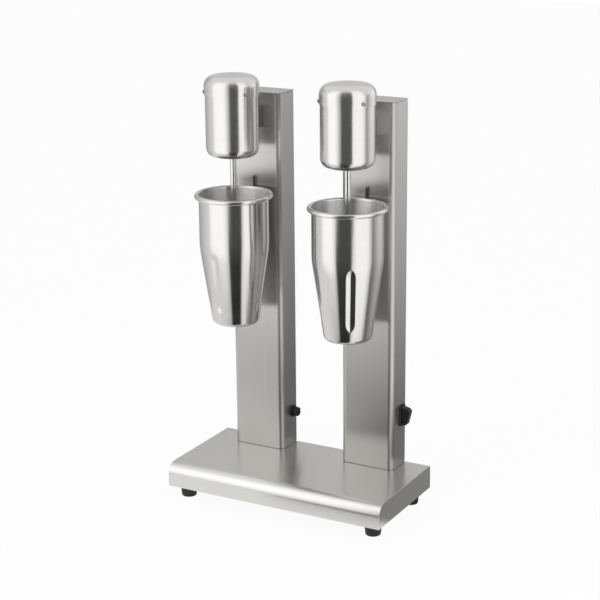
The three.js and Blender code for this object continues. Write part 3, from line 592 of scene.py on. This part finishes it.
# Feet, turned with a recess for the screw: the side leans out and ends in a straight collar
foot = {"top": 11.4, "toe": 9.8, "round": 1.4, "recess": 3.6, "recessDepth": 5.0, "leanEnd": 0.75,
        "collarStart": 0.8, "segments": 48}
footNodes = [f"foot_{end}_{side}" for end in ("front", "back") for side in sides]


def makeFeet():
    for node in footNodes:
        low, high = sizesOf(node)
        centre = middleOf(node)
        top, toe, tall, recess, deep = foot["top"], foot["toe"], high.z - low.z, foot["recess"], foot["recessDepth"]
        profile = filleted([(0, deep), (recess, deep, 0.3), (recess, 0, 0.5), (toe, 0, foot["round"]),
                            (toe + (top - toe) * foot["leanEnd"], tall * foot["leanEnd"], 4),
                            (top, tall * foot["collarStart"], 0.4), (top, tall, 0.6), (0, tall)], closed=False)
        words = node.split("_")
        finished("rubberFoot" + words[1].title() + words[2].title(),
                 turnedMesh(profile, foot["segments"], at(centre.x, centre.y, low.z)),
                 "rubber", "stand", [node])


makeFeet()
print("feet made")


# Columns: a folded channel, a back cover and a top
column = {"bend": 8.0, "bendStep": 8, "heel": 1.0, "fold": 0.4, "sheet": 1.2, "lip": 9.0, "hem": 0.3,
          "coverRound": 1.5, "coverEdge": 0.4, "topEdge": 0.45, "skirtGap": 0.3, "skirtShort": 1.5, "cut": 4,
          "wireHole": 7.0, "stemHole": 1.8, "stemDrop": 3.15, "rockerHole": (12.4, 27.6), "fuseHole": 6.3}


def stemHeight(side):  # the start lever's stem lies a little under the cup's rim
    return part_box("cup_" + side)[1].z / mm - column["stemDrop"]


def makeColumn(side):
    low, high = sizesOf("column_shell_" + side)
    sheet, bend, lip, heel, fold = (column[k] for k in ("sheet", "bend", "lip", "heel", "fold"))
    outline = filleted([(low.x + lip, high.y), (low.x, high.y, heel), (low.x, low.y, bend), (high.x, low.y, bend),
                        (high.x, high.y, heel), (high.x - lip, high.y), (high.x - lip, high.y - sheet),
                        (high.x - sheet, high.y - sheet, fold), (high.x - sheet, low.y + sheet, bend - sheet),
                        (low.x + sheet, low.y + sheet, bend - sheet), (low.x + sheet, high.y - sheet, fold),
                        (low.x + lip, high.y - sheet)], stepDegrees=column["bendStep"])
    channel = extrudedMesh(outline, "Z", low.z, high.z, column["hem"], 2)
    neck, lever, cut = middleOf("neck_" + side), middleOf("start_lever_" + side), column["cut"]
    if side == "right":  # the rocker's hole; the left column has the fuse's, in the same face
        control = plug(middleOf("rocker_housing_right"), column["rockerHole"], high.x - cut, high.x + cut)
    else:
        holder = middleOf("fuse_holder_left")
        control = cylinder(column["fuseHole"], -cut, cut, 40, at(high.x, holder.y, holder.z, "X"))
    cutters = [cylinder(column["wireHole"], -cut, cut, 40, at(neck.x, low.y, neck.z, "Y")),
               cylinder(column["stemHole"], -cut, cut, 24, at(lever.x, low.y, stemHeight(side), "Y")), control]
    sided("columnChannel", side, carved(channel, cutters), "columnSteel", "column_shell")
    cover = slab(*sizesOf("column_back_" + side), "Y", column["coverRound"], column["coverEdge"], 2)
    sided("columnBack", side, cover, "columnSteel", "column_back")
    low, high = sizesOf("column_top_" + side)
    roof = slab((low.x, low.y, high.z - sheet), high, "Z", (bend, bend, heel, heel), column["topEdge"])
    inset = sheet + column["skirtGap"]
    skirt = slab((low.x + inset, low.y + inset, low.z),
                 (high.x - inset, high.y - inset - column["skirtShort"], high.z - sheet / 2), "Z", bend)
    sided("columnTop", side, joined([roof, skirt]), "columnSteel", "column_top")


for side in sides:
    makeColumn(side)
print("columns made")


# Heads: neck, spun shell, domed cap
head = {"neckFoot": 3.0, "neckEdge": 0.3, "archStep": 5, "gap": 0.3, "cut": 9, "radius": 33.9, "wall": 1.2,
        "corner": 12.5, "cornerEase": 1, "crown": 1.6, "crownRound": 8, "rise": 0.6, "mouth": 8.2, "lip": 0.4,
        "shellStep": 6, "capWall": 0.8, "capCorner": 13.0, "capCrown": 2.2, "segments": 128, "hem": 0.35,
        "hemFold": 0.1}


def makeHead(side):
    low, high = sizesOf("neck_" + side)
    centre = middleOf("head_cap_" + side)
    place = at(centre.x, centre.y)
    arch = (high.x - low.x) / 2 - 0.001
    rounds = (head["neckFoot"], head["neckFoot"], arch, arch)
    tube = slab((low.x, centre.y, low.z), high, "Y", rounds, head["neckEdge"], 2, head["archStep"])
    seat = cylinder(head["radius"] + head["gap"], low.z - head["cut"], high.z + head["cut"], head["segments"], place)
    sided("neckTube", side, carved(tube, [seat]), "neckSteel", "neck")

    low, high = sizesOf("head_shell_" + side)
    radius, wall, corner, crown = (head[k] for k in ("radius", "wall", "corner", "crown"))
    mouth, lip, rise, bend = head["mouth"], head["lip"], head["rise"], corner - head["cornerEase"]
    shell = filleted([(mouth, low.z, lip), (radius - corner, low.z + crown, head["crownRound"]),
                      (radius, low.z + crown + rise, bend), (radius, high.z, 0.3), (radius - wall, high.z, 0.3),
                      (radius - wall, low.z + wall + crown + rise, bend - wall), (mouth, low.z + wall, lip)],
                     stepDegrees=head["shellStep"])
    shell = turnedMesh(shell, head["segments"], place, closed=True)
    sided("headShell", side, shell, "headSteel", "head_shell")

    low, high = sizesOf("head_cap_" + side)
    cap = turnedMesh(capProfile((high.x - low.x) / 2, low.z, high.z), head["segments"], place)
    sided("headCap", side, cap, "headSteel", "head_cap")


def capProfile(outer, bottom, top):
    corner, crown, wall = head["capCorner"], head["capCrown"], head["capWall"]
    flat = outer - corner

    def line(inset):
        bend = arc((flat, top - crown - corner), corner - inset, [radians(a) for a in range(0, 90, 5)])
        return bend + [(flat * (1 - k / 10), top - inset - crown * (1 - k / 10) ** 2) for k in range(11)]
    hem, fold = head["hem"], head["hemFold"]
    edge = [(outer, bottom + hem), (outer - fold, bottom + fold), (outer - hem, bottom),
            (outer - wall + fold, bottom), (outer - wall, bottom + fold)]
    return list(reversed(line(0))) + edge + line(wall)


for side in sides:
    makeHead(side)
print("heads made")


# Bush and spindle, turned, and the waved agitator on the spindle's foot
drive = {"spindle": 4.0, "chamfer": 0.6, "bore": 4.3, "segments": 48, "bushGap": 0.3, "flange": 14, "flangeLow": 1.6,
         "flangeHigh": 5.4, "sleeve": 9, "disc": 14.0, "discThick": 2.0, "discEdge": (0.2, 0.3), "hub": 6.6,
         "hubTall": 12.0, "socket": 6, "rings": 8, "waves": 4, "waveTall": 1.8, "discSegments": 96}


def makeDrive(side):
    centre = middleOf("stator_" + side)
    low, high = sizesOf("lower_bearing_" + side)
    mouth, bore, flange, sleeve = head["mouth"] - drive["bushGap"], drive["bore"], drive["flange"], drive["sleeve"]
    under, over = low.z + drive["flangeLow"], low.z + drive["flangeHigh"]
    bush = filleted([(bore, low.z, 0.4), (mouth, low.z, 0.4), (mouth, under), (flange, under, 0.3),
                     (flange, over, 0.3), (sleeve, over, 0.3), (sleeve, high.z, 0.4), (bore, high.z, 0.4)])
    bush = turnedMesh(bush, drive["segments"], at(centre.x, centre.y), closed=True)
    sided("bronzeBush", side, bush, "bronze", "lower_bearing")

    low, high = sizesOf("spindle_" + side)
    radius, chamfer = drive["spindle"], drive["chamfer"]
    rod = filleted([(0, low.z), (radius - chamfer, low.z, 0.2), (radius, low.z + chamfer, 0.3),
                    (radius, high.z - chamfer, 0.3), (radius - chamfer, high.z, 0.2), (0, high.z)], closed=False)
    rod = turnedMesh(rod, drive["segments"], at(centre.x, centre.y))
    sided("spindleRod", side, rod, "shaftSteel", "spindle", side + "_spindle")

    disc, hub, half, tall = drive["disc"], drive["hub"], drive["discThick"] / 2, drive["hubTall"]
    edgeIn, edgeUp = drive["discEdge"]
    rings = [hub + (disc - 0.6 - hub) * k / drive["rings"] for k in range(1, drive["rings"] + 1)]
    profile = [(0, -half), (hub * 0.5, -half), (hub, -half)] + [(r, -half) for r in rings]
    profile += [(disc - edgeIn, -half + edgeUp), (disc, 0), (disc - edgeIn, half - edgeUp)]
    profile += [(r, half) for r in reversed(rings)]
    profile += filleted([(hub + 0.4, half), (hub, half, 0.4), (hub, tall, 0.8), (bore, tall, 0.3),
                         (bore, tall - drive["socket"], 0.1), (0, tall - drive["socket"])], closed=False)[1:]

    def waved(point):
        out = Vector((point.x, point.y)).length
        reach = min(max((out - hub) / (disc - hub), 0), 1)
        lift = drive["waveTall"] * cos(drive["waves"] * atan2(point.y, point.x)) * reach
        return Vector((point.x, point.y, point.z + lift))

    middle = sizesOf("agitator_" + side)[1].z - tall
    agitator = turnedMesh(profile, drive["discSegments"], at(centre.x, centre.y, middle), reshape=waved)
    sided("agitatorDisc", side, agitator, "shaftSteel", "agitator", side + "_spindle")


for side in sides:
    makeDrive(side)
print("spindles made")


# Cups: straight wall, tapered cone with four pressed flutes, rolled rim
cup = {"rim": 50.5, "body": 45.0, "wall": 0.8, "tall": 171.2, "shoulder": 101.2, "shoulderRound": 22.0, "toe": 30.0,
       "toeRound": 6.5, "floorCrown": 0.9, "curlEnd": -48, "curlStep": 12, "bendSteps": 10, "fluteCount": 4,
       "fluteWidth": 14.0, "fluteDepth": 1.7, "fluteLow": 19.8, "fluteHigh": 98.8, "fluteEnd": 9.0,
       "turn": {"left": -6, "right": 32}, "liningTop": 6.3, "segments": 288, "ringStep": 1.6, "sharp": 50}


def cupLine(inset):  # from the axis under the floor to the foot of the rim's curl
    lean = atan2(cup["body"] - cup["toe"], cup["shoulder"])
    toe = cup["toeRound"] - inset
    steps = cup["bendSteps"]

    def coneAt(z):
        return cup["body"] - inset / cos(lean) - (cup["shoulder"] - z) * tan(lean)
    toeUp = inset + toe
    toeMiddle = coneAt(toeUp) - toe / cos(lean)
    drop = cup["shoulderRound"] / 2
    bendRadius = drop / tan(lean / 2)
    floor = [(toeMiddle * k / 4, inset + cup["floorCrown"] * (1 - (k / 4) ** 2)) for k in range(4)]
    bend = arc((cup["body"] - inset - bendRadius, cup["shoulder"] + drop), bendRadius,
               [lean * (k / steps - 1) for k in range(steps + 1)])
    quarter = radians(90)
    corner = arc((toeMiddle, toeUp), toe, [-quarter + (quarter - lean) * k / steps for k in range(steps + 1)])
    low, high = corner[-1][1], bend[0][1]
    rings = int((high - low) / cup["ringStep"])
    cone = [(coneAt(z), z) for z in (low + (high - low) * k / rings for k in range(1, rings))]
    return floor + corner + cone + bend


def makeCup(side):
    low, high = sizesOf("cup_" + side)
    centre = middleOf("stator_" + side)
    wall, step = cup["wall"], cup["curlStep"]
    curl = (cup["rim"] - cup["body"] + wall) / 2
    middle = (cup["rim"] - curl, cup["tall"] - curl)
    outer = arc(middle, curl, [radians(a) for a in range(180, cup["curlEnd"] - 1, -step)])
    inner = arc(middle, curl - wall, [radians(a) for a in range(cup["curlEnd"], 181, step)])
    profile = cupLine(wall) + outer + inner + list(reversed(cupLine(0)))
    period = 2 * pi / cup["fluteCount"]
    turn = radians(cup["turn"][side] - 90)

    def fluted(point):
        radius = hypot(point.x, point.y)
        if radius < 1 or point.z <= cup["toeRound"]:
            return point
        angle = atan2(point.y, point.x) - turn
        across = (angle - round(angle / period) * period) * radius
        along = min(point.z - cup["fluteLow"], cup["fluteHigh"] - point.z)
        half = cup["fluteWidth"] / 2
        if along <= 0:
            return point
        # the groove ends in a half round, so its width narrows with the distance left
        width = half * sqrt(max(0.0, 1 - (1 - min(along / cup["fluteEnd"], 1)) ** 2))
        if width < 0.05 or abs(across) >= width:
            return point
        depth = cup["fluteDepth"] * (width / half) * cos(pi / 2 * across / width) ** 2
        return Vector((point.x * (radius - depth) / radius, point.y * (radius - depth) / radius, point.z))

    mesh = turnedMesh(profile, cup["segments"], at(centre.x, centre.y, low.z), reshape=fluted)
    piece = sided("maltCup", side, mesh, "cupSteel", "cup", side + "_cup", cup["sharp"])
    # the lining gets the lighter steel, which is painted light for the cup's inside
    piece.data.materials.append(finishes["cupLiningPaintedLight"])
    axis = Vector((centre.x, centre.y)) * mm
    for face in piece.data.polygons:  # the lining is what faces the axis below the rim, and the floor inside
        out = Vector(face.center[:2]) - axis
        facesIn = out.dot(Vector(face.normal[:2])) < 0 or (face.normal.z > 0.9 and out.length < cup["toe"] * mm)
        if facesIn and face.center.z < (high.z - cup["liningTop"]) * mm:
            face.material_index = 1


for side in sides:
    makeCup(side)
print("cups made")


# Cup carriers on each column: hook, start lever and rubber stop
carrier = {"hookEdge": 0.3, "shelfUp": 16, "plate": 2, "lipDrop": 9, "lipThick": 1.8, "leverEdge": 0.25,
           "leverWide": 2.6, "leverThick": 1.2, "leverRound": 1.25, "stem": 1.5, "stemChamfer": 0.3,
           "stop": 8, "stopRound": 2.2}


def makeCarrier(side):
    centre = middleOf("stator_" + side)
    low, high = sizesOf("cup_hook_" + side)
    plate, lip, step = carrier["plate"], low.y + carrier["lipThick"], high.z - carrier["lipDrop"]
    shelf = low.z + carrier["shelfUp"] - plate
    outline = filleted([(high.y, low.z), (high.y, step), (lip, step, 0.6), (lip, high.z, 0.8), (low.y, high.z, 0.8),
                        (low.y, shelf, 1.6), (high.y - plate, shelf, 0.6), (high.y - plate, low.z)])
    hook = extrudedMesh(outline, "X", low.x, high.x, carrier["hookEdge"], 2)
    sided("cupHook", side, hook, "shaftSteel", "cup_hook")

    low, high = sizesOf("start_lever_" + side)
    half, top = carrier["leverWide"] / 2, carrier["leverRound"]
    tab = slab((centre.x - half, low.y, low.z), (centre.x + half, low.y + carrier["leverThick"], high.z), "Y",
               (0.4, 0.4, top, top), carrier["leverEdge"], 2)
    radius, start, chamfer = carrier["stem"], low.y + 0.6, carrier["stemChamfer"]
    stem = turnedMesh([(0, start), (radius, start), (radius, high.y - chamfer), (radius - chamfer, high.y),
                       (0, high.y)], 24, at(centre.x, 0, stemHeight(side), "Y"))
    lever = joined([tab, stem])
    sided("startLever", side, lever, "springSteel", "start_lever", side + "_start_lever")

    low, high = sizesOf("cup_bumper_" + side)
    middle, tall, radius = middleOf("cup_bumper_" + side), high.y - low.y, carrier["stop"]
    button = filleted([(0, 0), (radius, 0, 0.5), (radius, tall, carrier["stopRound"]), (0, tall)], closed=False)
    button = turnedMesh(button, 48, at(middle.x, high.y, middle.z, "-Y"))
    sided("cupStop", side, button, "rubber", "cup_bumper")


for side in sides:
    makeCarrier(side)
print("carriers made")


# Rocker switch: bezel, body and paddle
rocker = {"bezelThick": 2.0, "bezelRound": 2.4, "bezelEdge": 0.7, "body": (11.8, 27.0), "bodyRound": 0.8,
          "pocket": (10.0, 25.6), "pocketRound": 0.6, "pocketDeep": 6.4, "play": 0.3, "pivotOut": 1.6,
          "faceOut": 11.6, "halfLength": 12.0, "waist": 0.42, "square": 0.35, "crownHalf": 7.5, "shoulderIn": 0.4,
          "skirt": 2.8, "keel": 4.0, "tilt": 14.0, "edge": 0.8, "steps": 12}


def makeRocker():
    low, high = sizesOf("rocker_housing_right")
    middle = middleOf("rocker_housing_right")
    wall, play = sizesOf("column_shell_right")[1].x, rocker["play"]
    face = wall + play
    bezel = slab((face, low.y, low.z), (face + rocker["bezelThick"], high.y, high.z), "X", rocker["bezelRound"],
                 rocker["bezelEdge"])
    body = plug(middle, rocker["body"], low.x, face + 1.0, rocker["bodyRound"])
    pocket = plug(middle, rocker["pocket"], face - rocker["pocketDeep"] - play, face + 9, rocker["pocketRound"])
    housing = joined([carved(bezel, [pocket]), carved(body, [pocket])])
    sided("rockerHousing", "right", housing, "satinPlastic", "rocker_housing")

    pivot = Vector((face - play + rocker["pivotOut"], middle.y, middle.z))
    out, half, crown = rocker["faceOut"] - rocker["pivotOut"], rocker["halfLength"], rocker["crownHalf"]
    waist, square, shoulder = half * rocker["waist"], out * rocker["square"], half - rocker["shoulderIn"]
    rise = []  # drawn as (z, out): each end swells in one curve to the crown
    for k in range(rocker["steps"] + 1):
        t = k / rocker["steps"]
        rise.append(((1 - t) ** 2 * half + 2 * t * (1 - t) * shoulder + t * t * crown,
                     (1 - t) ** 2 * square + (1 - (1 - t) ** 2) * out))
    end = [(waist, -rocker["keel"]), (half, -rocker["skirt"])] + rise
    width = rocker["pocket"][0] / 2 - play
    paddle = extrudedMesh(end + [(-z, o) for z, o in reversed(end)], "Y", -width, width, rocker["edge"])
    stand = Matrix(((0, 0, 1, 0), (0, 1, 0, 0), (1, 0, 0, 0), (0, 0, 0, 1)))  # (z, y, out) to (out, y, z)
    lean = Matrix.Rotation(radians(rocker["tilt"]), 4, "Y")
    paddle.transform(Matrix.Translation(pivot * mm) @ lean @ stand)
    sided("rockerPaddle", "right", paddle, "glossPlastic", "rocker", "right_rocker")


makeRocker()
print("rocker made")


# Geometry trees, each with named inputs
def newTree(name, inputs):
    tree = bpy.data.node_groups.new(name, "GeometryNodeTree")
    for label, kind, value in inputs:
        socket = tree.interface.new_socket(label, in_out="INPUT", socket_type="NodeSocket" + kind)
        if value is not None:
            socket.default_value = value
    tree.interface.new_socket("Geometry", in_out="OUTPUT", socket_type="NodeSocketGeometry")
    return tree, addNode(tree, "NodeGroupInput").outputs


def scattered(tree, links, material):  # a thing on each point, made real and given its material
    spread = addNode(tree, "GeometryNodeInstanceOnPoints", links=links)
    real = addNode(tree, "GeometryNodeRealizeInstances", links={"Geometry": spread.outputs["Instances"]})
    coated = addNode(tree, "GeometryNodeSetMaterial", links={"Geometry": real.outputs["Geometry"],
                                                             "Material": material})
    addNode(tree, "NodeGroupOutput", links={"Geometry": coated.outputs["Geometry"]})
    return tree


def grown(tree, inputs, source=None):  # the plain mesh that a tree makes from its named inputs
    holder = placed("holder", source or bpy.data.meshes.new("holder"))
    modifier = holder.modifiers.new("grow", "NODES")
    modifier.node_group = tree
    sockets = {s.name: s.identifier for s in tree.interface.items_tree if s.in_out == "INPUT"}
    for name, value in inputs.items():
        modifier[sockets[name]] = value
    mesh = settled(holder)
    holder.modifiers.remove(modifier)
    bpy.data.objects.remove(holder)
    return mesh


def ribTree():
    tree, given = newTree("ribsRoundKnob", (
        ("Ribs", "Int", 18), ("Ring radius", "Float", 0.0062), ("Rib radius", "Float", 0.0004),
        ("Rib length", "Float", 0.005), ("Material", "Material", None)))
    ring = addNode(tree, "GeometryNodeMeshCircle", links={"Vertices": given["Ribs"], "Radius": given["Ring radius"]})
    rib = addNode(tree, "GeometryNodeMeshCylinder", {"Vertices": 10},
                  {"Radius": given["Rib radius"], "Depth": given["Rib length"]})
    return scattered(tree, {"Points": ring.outputs["Mesh"], "Instance": rib.outputs["Mesh"]}, given["Material"])


# Fuse holder and its cap, and the cable gland
fuse = {"flange": 8.2, "flangeThick": 2.0, "barrel": 6.0, "bore": 4.2, "cap": 6.4, "out": 9.0, "plug": 3.6,
        "plugDeep": 12, "deep": -19.3, "play": 0.3, "slotWide": 1.4, "slotDeep": 1.6, "slotHalf": 9, "ribs": 18,
        "ribRadius": 0.35, "ribLength": 3.6, "ribUp": 2.6, "segments": 64}
gland = {"flange": 8.0, "flangeOut": 3.3, "body": 6.4, "nose": 5.4, "noseStep": (0.6, 4.1), "bore": 2.7, "nut": 9.0,
         "nutThick": 4, "play": 0.3, "ribs": 16, "ribOut": 0.1, "ribRadius": 0.4, "ribLength": 3.0, "ribBack": 2.8}
knobRibs = ribTree()


def ribbed(settings, radius, up, finish):
    ribs = grown(knobRibs, {
        "Ribs": settings["ribs"], "Ring radius": radius * mm, "Rib radius": settings["ribRadius"] * mm,
        "Rib length": settings["ribLength"] * mm, "Material": finishes[finish]})
    ribs.transform(Matrix.Translation((0, 0, up * mm)))
    return ribs


def makeFuse():
    low = sizesOf("fuse_holder_left")[0]
    middle = middleOf("fuse_holder_left")
    face = sizesOf("column_shell_left")[1].x
    play, barrel, flange, bore, plugEnd = (fuse[k] for k in ("play", "barrel", "flange", "bore", "plug"))
    seat = play + fuse["flangeThick"]
    body = filleted([(0, low.x - face), (barrel, low.x - face, 0.5), (barrel, play), (flange, play, 0.2),
                     (flange, seat, 0.8), (bore, seat, 0.2), (bore, fuse["deep"]), (0, fuse["deep"])], closed=False)
    out = at(face, middle.y, middle.z, "X")
    body = turnedMesh(body, fuse["segments"], out)
    sided("fuseHolder", "left", body, "satinPlastic", "fuse_holder")

    cap, tip, collar = fuse["cap"], fuse["out"], seat + play
    knob = filleted([(0, collar - fuse["plugDeep"]), (plugEnd, collar - fuse["plugDeep"], 0.4), (plugEnd, collar),
                     (cap, collar, 0.3), (cap - 0.25, tip, 1.1), (0, tip)], closed=False)
    across, half = fuse["slotHalf"], fuse["slotWide"] / 2
    slot = slab((-across, -half, tip - fuse["slotDeep"]), (across, half, tip + 3), "Z")
    ribs = ribbed(fuse, cap - fuse["ribRadius"] * 0.8, seat + fuse["ribUp"], "glossPlastic")
    whole = joined([carved(turnedMesh(knob, fuse["segments"]), [slot]), ribs])
    # the CAD slot lies level across the cap, so the screwdriver slot does too
    whole.transform(out @ Matrix.Rotation(pi / 2, 4, "Z"))
    sided("fuseCap", "left", whole, "glossPlastic", "fuse_cap", "left_fuse_cap")


def makeGland():
    low, high = sizesOf("cord_gland")
    middle = middleOf("cord_gland")
    wall = sizesOf("base_shell")[1].y
    back, tip, play = low.y - wall, high.y - wall, gland["play"]
    bore, nut, body, flange, nose = (gland[k] for k in ("bore", "nut", "body", "flange", "nose"))
    nutEnd, (stepOut, stepUp) = back + gland["nutThick"], gland["noseStep"]
    profile = filleted([(bore, back, 0.3), (nut, back, 0.4), (nut, nutEnd, 0.4), (body, nutEnd), (body, play),
                        (flange, play, 0.2), (flange, gland["flangeOut"], 0.8), (nose + stepOut, stepUp, 0.8),
                        (nose, tip, 1.2), (bore, tip, 0.6)])
    ribs = ribbed(gland, nose + gland["ribOut"], tip - gland["ribBack"], "satinPlastic")
    whole = joined([turnedMesh(profile, fuse["segments"], closed=True), ribs])
    whole.transform(at(middle.x, wall, middle.z, "Y"))
    finished("cableGland", whole, "satinPlastic", "stand", ["cord_gland"])


makeFuse()
makeGland()
print("fuse and gland made")


# Screws: one pan head with a cross recess, set out on the caps, back covers, bottom plate and feet
screw = {"head": 2.6, "tall": 1.5, "shank": 1.5, "length": 3.5, "recess": 0.9, "recessWide": 0.75, "recessHalf": 1.6,
         "seed": 7, "backMargin": 14.0, "backInset": 4.5, "capAngles": (-60, 60, 180), "capUp": 4, "capOut": 0.3,
         "plateInset": 12.0, "plateEnd": 70, "sizes": {"cap": 1.0, "cover": 0.9, "plate": 0.9, "foot": 1.1}}


def screwMesh():
    tall, radius, shank = screw["tall"], screw["head"], screw["shank"]
    profile = filleted([(0, -screw["length"]), (shank, -screw["length"], 0.3), (shank, 0), (radius, 0, 0.15),
                        (radius, tall * 0.55, 0.7), (radius * 0.55, tall, 1.2), (0, tall)],
                       closed=False, stepDegrees=18)
    along, half, floor = screw["recessHalf"], screw["recessWide"] / 2, tall - screw["recess"]
    cross = [slab((-x, -y, floor), (x, y, tall + 1), "Z") for x, y in ((along, half), (half, along))]
    return carved(turnedMesh(profile, 20), cross)


def screwTree():
    tree, given = newTree("screwsOnPoints", (
        ("Geometry", "Geometry", None), ("Screw", "Object", None), ("Size", "Float", None), ("Seed", "Int", None),
        ("Material", "Material", None)))
    facing = addNode(tree, "GeometryNodeInputNamedAttribute", {"data_type": "FLOAT_VECTOR", "Name": "facing"})
    aimed = addNode(tree, "FunctionNodeAlignRotationToVector", {"axis": "Z"}, {"Vector": facing.outputs[0]})
    chance = addNode(tree, "FunctionNodeRandomValue", {"data_type": "FLOAT", 2: 0.0, 3: pi},
                     {"Seed": given["Seed"]})
    spin = addNode(tree, "FunctionNodeAxisAngleToRotation", {"Axis": (0, 0, 1)}, {"Angle": chance.outputs[1]})
    turn = addNode(tree, "FunctionNodeRotateRotation", {"rotation_space": "LOCAL"},
                   {"Rotation": aimed.outputs[0], "Rotate By": spin.outputs[0]})
    one = addNode(tree, "GeometryNodeObjectInfo", links={"Object": given["Screw"]})
    return scattered(tree, {"Points": given["Geometry"], "Instance": one.outputs["Geometry"],
                            "Rotation": turn.outputs[0], "Scale": given["Size"]}, given["Material"])


screwsOnPoints = screwTree()


def setScrews(kind, spots, nodes=()):
    pattern = placed("screwPattern", screwMesh())
    mesh = bpy.data.meshes.new(kind + "Screws")
    mesh.from_pydata([Vector(place) * mm for place, facing in spots], [], [])
    directions = mesh.attributes.new("facing", "FLOAT_VECTOR", "POINT")
    for item, (place, facing) in zip(directions.data, spots):
        item.vector = facing
    result = grown(screwsOnPoints, {"Screw": pattern, "Size": screw["sizes"][kind], "Seed": screw["seed"],
                                    "Material": finishes["screwSteel"]}, mesh)
    bpy.data.objects.remove(pattern)
    finished(kind + "Screws", result, "screwSteel", "stand", nodes)


def makeScrews():
    capSpots, coverSpots = [], []
    for side in sides:
        centre = middleOf("head_cap_" + side)
        low, high = sizesOf("head_cap_" + side)
        reach = (high.x - low.x) / 2 + screw["capOut"]
        for angle in screw["capAngles"]:
            out = Vector((sin(radians(angle)), -cos(radians(angle)), 0))
            capSpots.append((Vector((centre.x, centre.y, low.z + screw["capUp"])) + out * reach, out))
        low, high = sizesOf("column_back_" + side)
        for z in (low.z + screw["backMargin"], (low.z + high.z) / 2, high.z - screw["backMargin"]):
            for x in (low.x + screw["backInset"], high.x - screw["backInset"]):
                coverSpots.append((Vector((x, high.y, z)), Vector((0, 1, 0))))
    setScrews("cap", capSpots, [f"cap_screw_{k}_{side}" for side in sides for k in (1, 2, 3)])
    setScrews("cover", coverSpots)
    low, high = sizesOf("bottom_plate")
    down, inset, end = Vector((0, 0, -1)), screw["plateInset"], screw["plateEnd"]
    setScrews("plate", [(Vector((x, y, low.z)), down) for x in (low.x + end, 0, high.x - end)
                        for y in (low.y + inset, high.y - inset)])
    middles = [middleOf(node) for node in footNodes]
    setScrews("foot", [(Vector((middle.x, middle.y, foot["recessDepth"])), down) for middle in middles])


makeScrews()
print("screws set")


# What stays inside the machine keeps its CAD form and gets its own finish
inside = {"stator": "copper", "rotor": "laminations", "upper_bearing": "zincSteel", "microswitch": "satinPlastic"}
coat(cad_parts["terminal_block"].data, "ivoryPlastic")
for node, finish in inside.items():
    for side in sides:
        coat(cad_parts[f"{node}_{side}"].data, finish)
print("inner parts finished")
